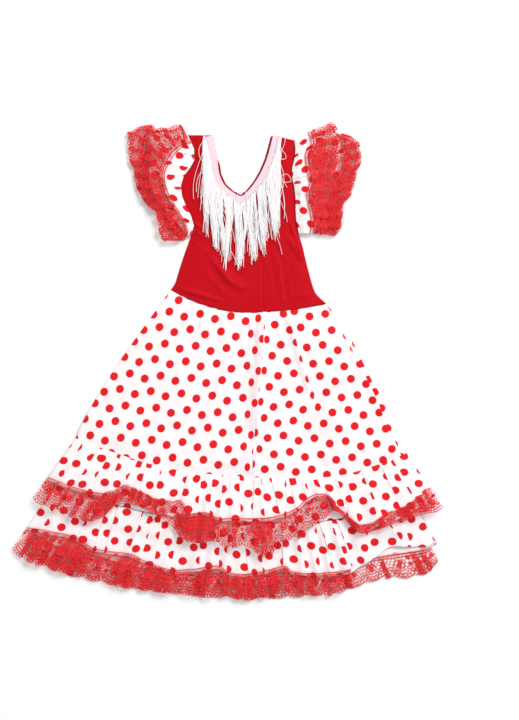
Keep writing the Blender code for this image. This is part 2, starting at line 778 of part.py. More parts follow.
def make_neck_fringe():
    """The tape on the V neck's edge, with a fringe of strands that grow out of its lower edge."""
    bottom = WALL + SEAM + ROOM + WALL + SEAM
    neck = neck_line()
    outer_x = [x for x, _ in TAPE_OUTER]
    outer_y = [y for _, y in TAPE_OUTER]
    stations = []
    pitch = (outer_x[-1] - outer_x[0]) / STRANDS
    for k in range(STRANDS):
        stations.append(outer_x[0] + k * pitch + pitch * (1.0 - STRAND_SHARE) / 2)
        stations.append(outer_x[0] + (k + 1) * pitch - pitch * (1.0 - STRAND_SHARE) / 2)
    stations = [outer_x[0]] + stations + [outer_x[-1]]

    points = []
    for x in stations:
        index = min(max(bisect_right(outer_x, x) - 1, 0), len(outer_x) - 2)
        share = (x - outer_x[index]) / (outer_x[index + 1] - outer_x[index])
        y = smooth_value(outer_x, outer_y, x)
        inner = mix(Vector(neck[index]), Vector(neck[index + 1]), share)
        points += [(inner.x, inner.y, bottom), (inner.x, inner.y, bottom + WALL)]
        points += [(x, y, bottom), (x, y, bottom + WALL)]

    faces = []
    for s in range(len(stations) - 1):
        a = 4 * s
        b = a + 4
        faces += [(a, a + 2, b + 2), (a, b + 2, b)]
        faces += [(a + 1, b + 3, a + 3), (a + 1, b + 1, b + 3)]
        faces += [(a, b, b + 1), (a, b + 1, a + 1)]
        if s % 2 == 0:
            faces += [(a + 2, a + 3, b + 3), (a + 2, b + 3, b + 2)]
        else:
            add_strand(points, faces, (a + 2, b + 2, b + 3, a + 3), (s - 1) // 2)
    end = 4 * (len(stations) - 1)
    faces += [(0, 1, 3), (0, 3, 2)]
    faces += [(end, end + 3, end + 1), (end, end + 2, end + 3)]
    make_object("neck_fringe", "fringe_white", points, faces)


def add_strand(points, faces, root, number):
    """One four-sided strand from the root's four corners down to its own end."""
    left, right = points[root[0]], points[root[1]]
    share = number / (STRANDS - 1)
    lean = smooth_value([s for s, _ in STRAND_LEAN], [value for _, value in STRAND_LEAN], share)
    fast, slow = STRAND_RATES
    length = STRAND_LENGTH + STRAND_VARIATION * math.sin(fast * number) * math.cos(slow * number)
    y_start = min(left[1], right[1])
    middle = (left[0] + right[0]) / 2
    half = (right[0] - left[0]) / 2
    ring = root
    for step in range(1, STRAND_RINGS + 1):
        t = step / STRAND_RINGS
        x = middle + lean * t
        y = y_start - length * t
        width = half * (1.0 - STRAND_TAPER * t)
        low = left[2] + STRAND_RISE * t
        top = low + WALL * (1.0 - STRAND_TAPER * t)
        first = len(points)
        points += [(x - width, y, low), (x + width, y, low), (x + width, y, top), (x - width, y, top)]
        new_ring = (first, first + 1, first + 2, first + 3)
        for corner in range(4):
            after = (corner + 1) % 4
            faces += [
                (ring[corner], new_ring[corner], new_ring[after]),
                (ring[corner], new_ring[after], ring[after]),
            ]
        ring = new_ring
    faces += [(ring[0], ring[3], ring[2]), (ring[0], ring[2], ring[1])]


UPPER_SEAM_REACH = Reach(UPPER_SEAM)
UPPER_HEM_REACH = Reach(UPPER_HEM)
UPPER_LACE_TOP_REACH = Reach(UPPER_LACE_TOP)
UPPER_LACE_LOW_REACH = Reach(UPPER_LACE_LOW)
LOWER_SEAM_REACH = Reach(LOWER_SEAM)
LOWER_HEM_REACH = Reach(LOWER_HEM)
LOWER_HEM_BACK_REACH = Reach(LOWER_HEM_BACK)
LOWER_LACE_LOW_REACH = Reach(LOWER_LACE_LOW)
LOWER_LACE_BACK_REACH = Reach(LOWER_LACE_BACK_LOW)


def main():
    """Clears the scene and makes every piece of the dress."""
    for old in list(bpy.data.objects):
        bpy.data.objects.remove(old, do_unlink=True)
    make_bodice()
    make_skirt()
    make_upper_ruffle()
    make_lower_ruffle()
    make_sleeves()
    make_neck_fringe()


main()
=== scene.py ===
"""The looks of a child's flamenco dress, laid flat on its back and seen from above.

The tables repeat the lines of the part's source, in millimetres: x to the right, y towards the neck
and z up from the surface. Cloth is a thin shell, the lace is a net with real holes, and the fringe
is made of single threads.
"""

import math

import bpy
import numpy as np
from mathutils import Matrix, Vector

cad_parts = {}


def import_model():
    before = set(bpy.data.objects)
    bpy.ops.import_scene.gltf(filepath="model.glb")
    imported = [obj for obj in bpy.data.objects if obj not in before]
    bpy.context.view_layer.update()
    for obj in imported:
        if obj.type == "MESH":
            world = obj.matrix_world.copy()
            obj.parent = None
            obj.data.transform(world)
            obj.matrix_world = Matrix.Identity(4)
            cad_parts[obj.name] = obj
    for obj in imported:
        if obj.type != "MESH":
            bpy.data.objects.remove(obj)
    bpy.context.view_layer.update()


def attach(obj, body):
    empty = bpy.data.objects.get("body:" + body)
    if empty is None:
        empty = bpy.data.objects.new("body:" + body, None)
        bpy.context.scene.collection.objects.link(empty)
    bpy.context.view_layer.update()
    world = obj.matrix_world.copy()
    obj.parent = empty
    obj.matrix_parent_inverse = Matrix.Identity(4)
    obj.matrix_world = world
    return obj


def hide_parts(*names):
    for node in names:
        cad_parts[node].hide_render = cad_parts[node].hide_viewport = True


MM = 0.001
CENTRE_X = 0.2
CENTRE_Y = 4.9

# Photograph: its height in pixels, the millimetres a pixel covers, and the point at its centre
PHOTO_HEIGHT = 720
PIXEL = 1.75
LOOK_AT = (53.4, 6.1, 5.0)
CAMERA_HEIGHT = 2500.0

# Solids' wall and gap, which the shells keep to, and the shells' own thickness
WALL = 1.0
SEAM = 0.3
SHELL = 0.5

# Half fronts of the bodice from the waist to the shoulder: outer x, outer y, inner x, inner y
LEFT_ROWS = (
    (-102, 129, 61, 91),
    (-94, 141, 60, 110),
    (-88, 160, 60, 132),
    (-80, 185, 60, 157),
    (-73, 205, 60, 180),
    (-67, 222, 56, 203),
    (-61, 241, 50, 225),
    (-66, 258, 42, 247),
    (-75, 276, 31, 270),
    (-82, 293, 21, 293),
    (-84, 311, 5, 301),
    (-79, 328, -9, 314),
    (-68, 342, -17, 332),
    (-60, 357, -20, 353),
    (-61, 376, -25, 378),
    (-72, 400, -28, 399),
)
RIGHT_ROWS = (
    (170, 105, 61, 91),
    (154, 120, 60, 110),
    (147, 134, 60, 132),
    (141, 155, 60, 157),
    (134, 182, 60, 180),
    (129, 204, 56, 203),
    (122, 227, 50, 225),
    (117, 252, 42, 247),
    (116, 272, 31, 270),
    (116, 291, 21, 293),
    (114, 307, 33, 302),
    (110, 325, 46, 318),
    (110, 342, 57, 337),
    (114, 357, 66, 358),
    (116, 375, 72, 379),
    (114, 391, 77, 399),
)
ARMHOLE_ROW = 6
NECK_ROW = 9
BACK_NECK_RISE = 2.5
# Height, y, above which the back neck's edge hides under the front, on the left and the right
BACK_NECK_HIDDEN = {1.0: 362.0, -1.0: 430.0}
BACK_NECK_FADE = 15.0
BACK_NECK_TUCK = 1.5
LEFT_WAIST_SAG = 14.0
RIGHT_WAIST_SAG = 3.0
ROOM = 1.5
ROOM_REACH = 25.0

# Edges of the skirt's gores, from the waist down: x, y
LEFT_SIDE = (
    (-102, 129), (-138, 80), (-187, 11), (-228, -52), (-257, -104), (-271, -136), (-301, -200),
)
CENTRE_FRONT = ((61, 91), (59, 20), (53, -34), (48, -90), (42, -160), (38, -275))
RIGHT_SIDE = (
    (170, 105), (196, 60), (215, 25), (240, -25), (257, -60), (280, -116), (294, -144), (322, -218),
)
RIGHT_SIDE_BACK = (
    (170, 105), (201, 67), (224, 24), (248, -25), (268, -60), (290, -116), (304, -144), (326, -218),
)

# Grooves at the centre seams of the bodice and the skirt, and how far their halves close up
SEAM_GROOVE = 0.32
SKIRT_GROOVE = 0.2
SEAM_CLOSE = 0.25

# Creases along the bodice: start x, start y, end x, end y, height, half width
BODICE_CREASES = (
    (-22, 172, 30, 127, 2.0, 9),
    (-12, 152, 28, 126, 1.5, 7),
    (-73, 127, -33, 115, 1.5, 8),
    (105, 221, 130, 179, 2.5, 9),
    (-68, 233, -50, 225, 1.5, 8),
    (80, 197, 91, 125, 1.0, 9),
)
FINE_CREASES = (
    (-96, 139, -60, 119, 0.9, 4),
    (-60, 232, -30, 214, 0.9, 4),
    (-64, 214, -34, 190, 0.7, 5),
    (-34, 182, 6, 140, 0.9, 4),
    (2, 160, 44, 124, 0.8, 5),
    (118, 212, 96, 176, 0.9, 4),
    (128, 190, 110, 160, 0.8, 4),
    (101, 262, 129, 186, 2.4, 5),
    (-64, 247, -24, 221, 2.4, 6),
    (-58, 236, -38, 212, 1.4, 5),
    (-34, 190, 12, 128, 2.0, 8),
    (-44, 164, -6, 120, 1.2, 6),
    (-88, 131, -8, 108, 1.8, 5),
    (88, 184, 95, 100, 0.9, 4),
    (140, 150, 112, 132, 0.7, 5),
    (150, 122, 104, 114, 0.7, 5),
    (70, 176, 76, 110, 0.6, 5),
    (104, 168, 110, 108, 0.5, 6),
)

# Folds of the skirt: start x, start y, end x, end y, height, half width
SKIRT_FOLDS = (
    (61, 90, 45, -134, 4.0, 15),
    (101, 90, 145, -57, 3.5, 12),
    (203, 50, 282, -116, 3.0, 12),
    (-42, 85, -138, -143, 2.5, 26),
    (10, 85, -37, -172, 2.5, 24),
    (142, 76, 203, -169, 2.5, 26),
    (-86, 59, -208, -116, 2.0, 22),
)
FOLD_TAPER = 0.15

# Small gathers below the waist: start x, start y, end x, end y, height, half width
WAIST_GATHERS = (
    (-78, 116, -92, 66, 0.9, 6),
    (-58, 104, -68, 44, 1.4, 7),
    (-44, 100, -50, 40, 1.6, 7),
    (-30, 96, -34, 30, 1.5, 8),
    (-8, 92, -12, 44, 1.0, 7),
    (12, 90, 10, 36, 1.2, 7),
    (26, 88, 24, 10, 1.7, 7),
    (40, 88, 36, -20, 1.8, 7),
    (70, 90, 72, 34, 1.4, 6),
    (84, 92, 92, 40, 1.5, 7),
    (118, 96, 132, 50, 1.0, 7),
    (140, 98, 162, 56, 1.0, 6),
)

# Print of each front gore: place of one dot, and the line from which its dots are squeezed
LEFT_DOT = (-58.2, 30.8)
LEFT_PULL = ((1.0067, -0.0526), (-0.0183, 0.9726))
RIGHT_DOT = (175.0, 4.0)
SQUEEZE = 0.30
SQUEEZE_START = (31.0, -13.0)
TURNING_WIDTH = 22.0
RIGHT_SQUEEZE = 0.45
RIGHT_SQUEEZE_REACH = 12.0
TUCK = (101.0, 92.0, 150.0, -64.0)
TUCK_HIDDEN = 9.0
TUCK_EDGE = 1.2

# The point that the folds of the skirt and its ruffles fan out from
APEX = (19.0, 269.0)

# Lines across the skirt, from left to right: x, y
UPPER_SEAM = (
    (-270, -130), (-208, -153), (-144, -174), (-58, -191), (16, -197),
    (124, -200), (186, -197), (233, -186), (275, -171), (308, -158),
)
UPPER_HEM = (
    (-322, -204), (-294, -214), (-270, -223), (-231, -232), (-196, -234), (-170, -237), (-150, -246),
    (-124, -258), (-94, -269), (-68, -269), (-38, -267), (-21, -276), (10, -277), (65, -276), (89, -272),
    (121, -258), (138, -242), (159, -234), (178, -239), (196, -258), (214, -279), (231, -290),
    (262, -283), (285, -275), (312, -266), (336, -250), (359, -232),
)
UPPER_LACE_TOP = (
    (-324, -204), (-294, -214), (-270, -221), (-231, -232), (-206, -222), (-180, -213), (-150, -226),
    (-114, -240), (-88, -239), (-70, -255), (-51, -263), (-21, -276), (26, -276), (82, -274),
    (112, -265), (138, -241), (164, -230), (178, -237), (196, -255), (214, -272), (231, -281),
    (252, -276), (278, -260), (315, -246), (332, -230), (355, -211),
)
UPPER_LACE_LOW = (
    (-338, -241), (-304, -251), (-264, -270), (-242, -274), (-217, -265), (-202, -249), (-182, -244),
    (-164, -246), (-144, -255), (-117, -269), (-98, -284), (-80, -304), (-47, -311), (-28, -307),
    (-4, -318), (38, -319), (53, -332), (75, -330), (90, -311), (128, -300), (142, -284), (163, -272),
    (180, -256), (196, -262), (214, -284), (231, -295), (262, -288), (285, -279), (312, -272),
    (336, -263), (364, -258),
)
LOWER_SEAM = (
    (-301, -200), (-234, -234), (-161, -256), (-68, -270),
    (38, -275), (177, -274), (256, -253), (326, -218),
)
LOWER_HEM = (
    (-359, -293), (-329, -297), (-294, -304), (-266, -312), (-243, -328), (-205, -336), (-172, -340),
    (-152, -351), (-103, -367), (-52, -365), (-21, -361), (4, -374), (33, -375), (75, -367), (100, -361),
    (110, -370), (140, -374), (196, -370), (212, -367), (231, -355), (256, -340), (282, -322),
    (318, -321), (348, -321),
)
LOWER_HEM_BACK = (
    (-354, -291), (-294, -325), (-231, -339), (-187, -353), (-145, -360), (-103, -363), (37, -368),
    (194, -358), (240, -344), (292, -335), (348, -326),
)
LOWER_LACE_LOW = (
    (-373, -332), (-327, -353), (-294, -362), (-261, -367), (-231, -377), (-194, -388), (-164, -393),
    (-121, -398), (-84, -402), (-47, -407), (-4, -404), (19, -412), (54, -409), (86, -400), (112, -399),
    (149, -405), (182, -404), (203, -395), (219, -377),
)
LOWER_LACE_BACK_LOW = (
    (-366, -328), (-294, -365), (-231, -381), (-164, -393), (-84, -403), (-4, -409), (54, -410),
    (149, -405), (203, -395), (248, -382), (271, -375), (315, -374), (348, -365), (364, -347),
)

# Angles about the apex that the ruffles reach, in degrees from straight down
UPPER_SPAN = (-35.7, 34.4)
LOWER_SPAN = (-33.9, 30.6)
LOWER_LACE_SPAN = (-33.9, 17.2)
LOWER_LACE_BACK_SPAN = (-32.6, 29.6)
SIDE_FADE = 3.0

# Ruffle waves: how many, their height at the hem, and how much of it there is at the seam
SEAM_DROP = 0.9
UPPER_WAVES = 22
UPPER_WAVE_HEIGHT = 5.5
LOWER_WAVES = 20
LOWER_WAVE_HEIGHT = 5.5
BACK_WAVES = 12
BACK_WAVE_HEIGHT = 1.0
BACK_FULLNESS = 1.15
SEAM_SHARE = 0.25

# Heights of the layers under and over the skirt's hem
BACK_LIFT = 3.0
LIFT_START = -75.0
LIFT_END = -32.0
BACK_FALL_START = 112.0
BACK_FALL_END = 136.0
UPPER_BACK_DEPTH = 72.0
UPPER_BACK_LACE = 34.0
SKIRT_TOP = BACK_LIFT + WALL + SEAM + WALL
UPPER_CREST = 11.0
CREST_SHARE = 0.6
BACK_DROP_SHARE = 0.5

# Folds down the ruffles: x, y half way down, hidden cloth, side that they fall to, height, reach
UPPER_FOLDS = (
    (-290, -190, 6, 1, 1.2, 0.8),
    (-262, -202, 10, 1, 2.2, 1.3),
    (-224, -186, 12, -1, 1.8, 1.3),
    (-199, -190, 7, -1, 1.3, 0.7),
    (-173, -190, 8, 1, 1.4, 0.7),
    (-145, -190, 6, -1, 1.6, 1.3),
    (-123, -200, 9, 1, 1.1, 0.6),
    (-75, -196, 7, -1, 1.5, 0.8),
    (-49, -208, 10, 1, 2.0, 0.9),
    (-30, -225, 8, -1, 1.6, 1.3),
    (-12, -222, 9, -1, 1.8, 0.8),
    (19, -220, 8, 1, 1.4, 0.8),
    (43, -235, 10, -1, 2.6, 1.3),
    (58, -222, 9, 1, 2.4, 1.3),
    (82, -228, 6, -1, 1.6, 1.3),
    (100, -232, 7, -1, 1.8, 1.3),
    (114, -240, 6, -1, 1.4, 1.3),
    (134, -205, 9, 1, 1.2, 0.6),
    (160, -210, 10, -1, 1.2, 0.6),
    (193, -222, 12, 1, 2.4, 1.3),
    (212, -232, 6, 1, 1.6, 1.3),
    (236, -205, 9, -1, 1.4, 0.8),
    (255, -238, 8, 1, 1.4, 1.3),
    (275, -200, 10, -1, 1.5, 0.7),
    (298, -190, 8, 1, 1.6, 0.7),
    (308, -212, 7, -1, 1.2, 1.3),
)
LOWER_FOLDS = (
    (-320, -276, 10, 1, 1.6, 1.3),
    (-260, -293, 14, -1, 2.4, 1.3),
    (-231, -302, 8, -1, 1.6, 1.3),
    (-208, -295, 9, -1, 1.8, 1.3),
    (-171, -319, 12, 1, 2.6, 1.3),
    (-143, -304, 11, 1, 2.2, 1.3),
    (-124, -309, 8, 1, 1.6, 1.3),
    (-93, -319, 7, -1, 1.4, 0.7),
    (-54, -340, 10, 1, 2.0, 1.3),
    (-19, -344, 9, 1, 1.6, 0.9),
    (-5, -356, 11, 1, 2.2, 1.3),
    (30, -344, 9, -1, 2.0, 1.3),
    (59, -353, 13, 1, 2.8, 1.3),
    (98, -347, 12, -1, 2.4, 1.3),
    (128, -335, 9, 1, 1.6, 1.3),
    (147, -291, 7, 1, 1.4, 0.6),
    (172, -318, 11, -1, 2.2, 1.3),
    (189, -300, 8, 1, 1.6, 0.8),
    (205, -321, 12, -1, 2.6, 1.3),
    (212, -337, 6, 1, 2.0, 1.3),
    (250, -318, 8, -1, 1.2, 0.6),
    (292, -300, 12, 1, 1.8, 1.3),
    (319, -309, 10, 1, 2.0, 1.3),
    (347, -288, 8, -1, 1.4, 1.3),
)
# Pleats of the laces, where they lie double and dark: share of the way along, width
UPPER_PLEATS = (
    (0.030, 6.0), (0.060, 6.0), (0.100, 10.0), (0.128, 14.0), (0.215, 14.0), (0.235, 12.0), (0.262, 14.0),
    (0.282, 12.0), (0.385, 14.0), (0.400, 20.0), (0.418, 18.0), (0.436, 14.0), (0.455, 5.0), (0.495, 8.0),
    (0.550, 10.0), (0.568, 14.0), (0.585, 8.0), (0.655, 5.0), (0.800, 7.0), (0.860, 8.0), (0.910, 14.0),
    (0.925, 10.0), (0.962, 12.0), (0.982, 7.0),
)
LOWER_PLEATS = (
    (0.03, 8.0), (0.06, 14.0), (0.085, 10.0), (0.12, 18.0), (0.15, 20.0), (0.175, 16.0), (0.20, 12.0),
    (0.31, 18.0), (0.34, 16.0), (0.39, 18.0), (0.42, 16.0), (0.45, 12.0), (0.555, 10.0), (0.62, 12.0),
    (0.66, 16.0), (0.69, 18.0), (0.73, 12.0), (0.765, 14.0), (0.805, 10.0), (0.84, 12.0), (0.875, 8.0),
    (0.92, 6.0),
)
LOWER_BACK_PLEATS = (
    (0.05, 12.0), (0.12, 14.0), (0.25, 10.0), (0.42, 12.0), (0.60, 12.0), (0.785, 13.0), (0.878, 8.0),
    (0.955, 11.0), (0.975, 9.0),
)
LACE_FULLNESS = {"left": 1.0, "right": 1.4}
SLEEVE_PLEATS = {
    "top": (
        (0.06, 6.0), (0.16, 10.0), (0.25, 10.0), (0.32, 13.0), (0.39, 10.0), (0.47, 13.0), (0.54, 13.0),
        (0.62, 10.0), (0.69, 12.0), (0.76, 13.0), (0.83, 12.0), (0.90, 10.0),
    ),
    "under": (
        (0.16, 8.0), (0.26, 8.0), (0.36, 12.0), (0.45, 13.0), (0.54, 10.0), (0.63, 12.0), (0.72, 12.0),
        (0.81, 13.0), (0.90, 9.0),
    ),
    "back_top": (),
    "back_under": (),
}
# Places where the upper lace is turned up over the ruffle or down again: share of the way, width
UPPER_TURNS = ((0.161, 30.0), (0.361, 27.0), (0.760, 12.0))
TURN_LIFT = 2.0
LACE_RIDE = 2.3

# Distances from the apex at which the ruffles' cloth is spread flat
UPPER_SPREAD = 530.0
LOWER_SPREAD = 625.0

# Small gathers along a seam: their least and greatest pitch, height, reach and hidden cloth
GATHER_PITCH = (7.0, 15.0)
GATHER_HEIGHT = (0.7, 1.5)
GATHER_REACH = (0.12, 0.42)
GATHER_HIDDEN = (2.5, 6.0)
GATHER_DECAY = 7.0
FOLD_SLOPE = 8.0
FOLD_DROP = 1.3
FOLD_EDGE = 0.65
FOLD_LEAN = 1.1
FOLD_OFFSETS = (-1.0, 0.0, 0.45, 0.85, 1.3)

# Sleeves, from the shoulder down to the underarm: x, y
LEFT_SLEEVE = {
    "header": (
        (-66, 386), (-98, 372), (-116, 346), (-120, 330), (-116, 309), (-105, 287), (-94, 269),
        (-82, 251), (-74, 233), (-73, 224),
    ),
    "lace": (
        (-74, 398), (-86, 416), (-107, 409), (-133, 410), (-138, 386), (-145, 356), (-154, 326),
        (-150, 298), (-135, 272), (-122, 248), (-117, 218), (-79, 216),
    ),
    "under_header": (
        (-121, 405), (-144, 403), (-142, 381), (-140, 360), (-144, 335), (-138, 307), (-124, 283),
        (-107, 262), (-89, 241), (-75, 223),
    ),
    "under_lace": (
        (-138, 419), (-176, 403), (-175, 379), (-172, 354), (-164, 328), (-159, 304), (-142, 277),
        (-119, 262), (-107, 237), (-86, 218),
    ),
}
RIGHT_SLEEVE = {
    "header": (
        (144, 410), (150, 386), (138, 368), (140, 353), (144, 332), (147, 314), (140, 298),
        (144, 277), (150, 249), (147, 227),
    ),
    "lace": (
        (182, 423), (189, 398), (191, 374), (189, 351), (187, 328), (187, 304), (189, 277),
        (196, 251), (188, 223),
    ),
    "under_header": (
        (191, 403), (199, 396), (200, 358), (192, 330), (184, 304), (172, 276), (161, 251), (150, 227),
    ),
    "under_lace": (
        (200, 402), (214, 396), (228, 382), (229, 353), (222, 332), (212, 296), (198, 276),
        (197, 251), (184, 223),
    ),
}
TIER_LEVELS = {"back_top": 0.0, "back_under": 1.3, "under": 2.6, "top": 3.9}
TOP_TIER_CREST = 8.0
TIER_CREST_SHARE = 0.45
TIER_END_SHARE = 0.06
TOP_TIER_START = 0.06
TOP_TIER_CLEAR = 0.08
TOP_TIER_WAVES = 8
UNDER_TIER_WAVES = 6
TOP_TIER_WAVE_HEIGHT = 3.0
UNDER_TIER_WAVE_HEIGHT = 1.5
LACE_START = {"top": 0.80, "under": 0.95}
BACK_TIER_SHARE = 0.96
TIER_SPAN = (-30.0, 30.0)
TIER_SPREAD = 185.0
TIER_FULLNESS = 1.05
TIER_PRINT = {"left": (10.0, 44.0), "right": (20.0, 12.0)}
# The tiers' folds: share down the armhole, hidden cloth, side, height and reach
TIER_FOLDS = {
    "left": (
        (0.17, 4.0, 1, 1.2, 1.3), (0.30, 6.0, -1, 1.5, 1.3), (0.40, 4.0, 1, 1.0, 0.8),
        (0.52, 7.0, -1, 1.6, 1.3), (0.58, 5.0, 1, 1.3, 1.3), (0.70, 5.0, -1, 1.1, 0.8),
        (0.85, 4.0, 1, 1.2, 1.3),
    ),
    "right": (
        (0.20, 7.0, 1, 1.8, 1.3), (0.33, 4.0, -1, 1.0, 0.8), (0.45, 6.0, 1, 1.5, 1.3),
        (0.52, 8.0, -1, 1.8, 1.3), (0.62, 4.0, 1, 1.0, 0.8), (0.74, 6.0, -1, 1.4, 1.3),
        (0.88, 4.0, 1, 1.1, 1.3),
    ),
}

# The V neck's tape: its lower edge, from the left shoulder round to the right one
TAPE_OUTER = (
    (-44, 396), (-38, 374), (-33, 351), (-30, 328), (-19, 306), (-2, 291), (21, 279),
    (40, 291), (58, 312), (72, 337), (82, 365), (87, 382), (90, 395),
)
# The fringe by share of the way round: length, lean across, and threads in a clump
STRAND_LENGTHS = (
    (0.0, 118.0), (0.35, 122.0), (0.5, 122.0), (0.6, 112.0), (0.72, 110.0), (0.88, 134.0), (1.0, 128.0),
)
STRAND_LEAN = (
    (0.0, -3.0), (0.15, 0.0), (0.3, 4.0), (0.5, 0.0), (0.6, 5.0), (0.8, 9.0), (0.9, 4.0), (1.0, -3.0),
)
CLUMP_THREADS = ((0.0, 12.0), (0.40, 11.0), (0.5, 10.0), (0.72, 9.0), (0.82, 11.0), (1.0, 12.0))
FRINGE_CLUMPS = 72
# Places across, x, at which the fringe's ends gather into tufts, and how much they are drawn there
FRINGE_TUFTS = (-40.0, -24.0, -8.0, 20.0, 45.0, 62.0, 82.0)
TUFT_PULL = 0.6
ROOT_SPREAD = 7.0
# Share of threads that stray, and the spread and sway of a thread in its clump and of a stray one
STRAY_SHARE = 0.12
THREAD_SPREAD = (1.8, 8.0)
THREAD_SWAY = (1.1, 3.5)
THREAD_STEPS = 10
THREAD_RADIUS = 0.5
# Loose threads, each through four points: x, y
LOOSE_THREADS = (
    ((-44, 390), (-52, 376), (-50, 358), (-38, 350)),
    ((-37, 336), (-50, 332), (-56, 318), (-57, 300)),
    ((88, 378), (97, 368), (100, 361), (97, 357), (90, 358)),
    ((88, 326), (94, 329), (100, 331), (106, 327), (109, 319)),
    ((86, 319), (95, 317), (102, 317), (109, 318)),
    ((14, 292), (18, 302), (28, 303), (30, 290)),
    ((40, 250), (62, 238), (70, 222), (60, 214)),
    ((4, 196), (10, 184), (14, 174), (20, 166)),
)

# Overlocked edges: step along their cord and slant of their stitches
STITCH_STEP = 1.6
STITCH_SLANT = 0.5

# The print: diameter of a dot, side of its square repeat, its turn, and the dots within a repeat
DOT_DIAMETER = 14.2
DOT_REPEAT = 54.6
DOT_TURN = -5.0
DOT_PLACES = ((0.0, 0.0), (0.5, 0.125), (0.25, 0.625), (0.75, 0.5))
DOT_BLUR = 0.008
GHOST_SHIFT = (0.021, 0.013)
GHOST_STRENGTH = 0.05

# The lace: sides of a cell of its net, repeat of its flowers, and sizes across it
CELL = 4.8
COARSE_CELL = 5.2
OPEN_CELL = 6.2
FLOWER_REPEAT = 32.0
HEADER_WIDTH = 5.0
HEADER_INSET = 2.5
PICOT_PITCH = 5.2
PICOT_RADIUS = 2.3
PICOT_CORD = 0.7
CORD_RADIUS = 0.85
SCALLOP = 5.0
LACE_DEPTH = 42.0

# Rows of the lace's pattern as shares of its depth, and the light wave's swing and half width
FLOWER_ROW = 0.42
LEAF_ROW = 0.52
BUD_ROW = 0.26
WAVE_ROW = 0.72
WAVE_SWING = 0.055
WAVE_HALF_WIDTH = 2.2
HEART_RADIUS = 2.4

# How much of a cell is a hole in each part of the pattern
NET_HOLE = 0.86
PETAL_HOLE = 0.36
HEART_HOLE = 0.6
LEAF_HOLE = 0.12
WAVE_HOLE = 0.93
EDGE_HOLE = 0.82
HEADER_HOLE = 0.92
SOLID_BELOW = 0.15

# Colours, linear
WHITE_COTTON = (0.93, 0.880, 0.886)
SHADED_COTTON = (0.94, 0.86, 0.875)
INSIDE_COTTON = (0.94, 0.80, 0.83)
DOT_RED = (0.74, 0.012, 0.018)
INSIDE_DOT = (0.88, 0.42, 0.46)
LACE_RED = (0.72, 0.016, 0.024)
LACE_DARK = (0.66, 0.010, 0.018)
LACE_LIGHT = (0.97, 0.052, 0.058)
KNIT_RED = (0.6, 0.006, 0.014)
KNIT_DARK = (0.47, 0.002, 0.008)
KNIT_LIGHT = (0.58, 0.003, 0.011)
FRINGE_WHITE = (0.985, 0.955, 0.965)
TAPE_PINK = (0.93, 0.67, 0.74)
THREAD_DARK = (0.52, 0.008, 0.016)
THREAD_RED = (0.5, 0.004, 0.010)
FLOOR_WHITE = (0.95, 0.95, 0.95)
SPECULAR = 0.12
KNIT_SPECULAR = 0.075

# Light: the world's strength, and each lamp's name, place, power and size
WORLD_STRENGTH = 0.485
LAMPS = (
    ("key", (2.2, 2.6, 2.9), 176.0, 2.0),
    ("fill", (-2.0, -1.6, 2.6), 26.0, 2.0),
)

random = np.random.default_rng(7)


def ease(share):
    """Smooth step from 0 to 1 while the share goes from 0 to 1."""
    share = np.clip(share, 0.0, 1.0)
    return share * share * (3.0 - 2.0 * share)


def table_value(table, place):
    """Value at a place on straight runs through a table of places and values."""
    places, values = zip(*table)
    return float(np.interp(place, places, values))


def mix(first, second, share):
    """Value at a share of the way from the first to the second."""
    return first + (second - first) * share


def smooth_value(knots, values, place):
    """Values at places on a smooth curve through the values at rising knots."""
    knots = np.asarray(knots, float)
    values = np.asarray(values, float)
    place = np.clip(place, knots[0], knots[-1])
    index = np.clip(np.searchsorted(knots, place, side="right") - 1, 0, len(knots) - 2)
    order = np.arange(len(knots))
    before = np.maximum(order - 1, 0)
    after = np.minimum(order + 1, len(knots) - 1)
    run = knots[after] - knots[before]
    span = knots[index + 1] - knots[index]
    t = (place - knots[index]) / span
    if values.ndim > 1:
        run = run[:, None]
        span = span[..., None]
        t = t[..., None]
    slope = (values[after] - values[before]) / run
    near = values[index] * (2 * t ** 3 - 3 * t ** 2 + 1)
    near = near + slope[index] * (span * (t ** 3 - 2 * t ** 2 + t))
    far = values[index + 1] * (3 * t ** 2 - 2 * t ** 3)
    far = far + slope[index + 1] * (span * (t ** 3 - t ** 2))
    return near + far


class Edge:
    """A smooth line through a short table of points, read by its fraction of length."""

    def __init__(self, points):
        self.points = np.array(points, float)
        steps = np.linalg.norm(np.diff(self.points, axis=0), axis=1)
        self.knots = np.concatenate([[0.0], np.cumsum(steps)])
        self.length = self.knots[-1]

    def at(self, fraction):
        return smooth_value(self.knots, self.points, np.asarray(fraction) * self.length)


class Reach:
    """Distance from the apex of a line across the skirt, read by the angle about the apex."""

    def __init__(self, points):
        table = np.array(points, float)
        angle, radius = to_fan(table[:, 0], table[:, 1])
        order = np.argsort(angle)
        self.angles = angle[order]
        self.radii = radius[order]

    def at(self, angle):
        return smooth_value(self.angles, self.radii, angle)


def to_fan(x, y):
    """Angle in degrees from straight down, and distance, of points about the apex."""
    across = x - APEX[0]
    down = APEX[1] - y
    return np.degrees(np.arctan2(across, down)), np.hypot(across, down)


def from_fan(angle, radius):
    """Points at angles and distances from the apex."""
    turn = np.radians(angle)
    return APEX[0] + radius * np.sin(turn), APEX[1] - radius * np.cos(turn)


def soft_noise(x, y, cell, seed):
    """Smooth noise from -1 to 1 that varies over cells of a size in millimetres."""
    table = np.random.default_rng(seed).uniform(-1.0, 1.0, (64, 64))
    gx = np.asarray(x, float) / cell + 500.0
    gy = np.asarray(y, float) / cell + 500.0
    ix = np.floor(gx).astype(int)
    iy = np.floor(gy).astype(int)
    tx = ease(gx - ix)
    ty = ease(gy - iy)
    low = mix(table[ix % 64, iy % 64], table[(ix + 1) % 64, iy % 64], tx)
    high = mix(table[ix % 64, (iy + 1) % 64], table[(ix + 1) % 64, (iy + 1) % 64], tx)
    return mix(low, high, ty)


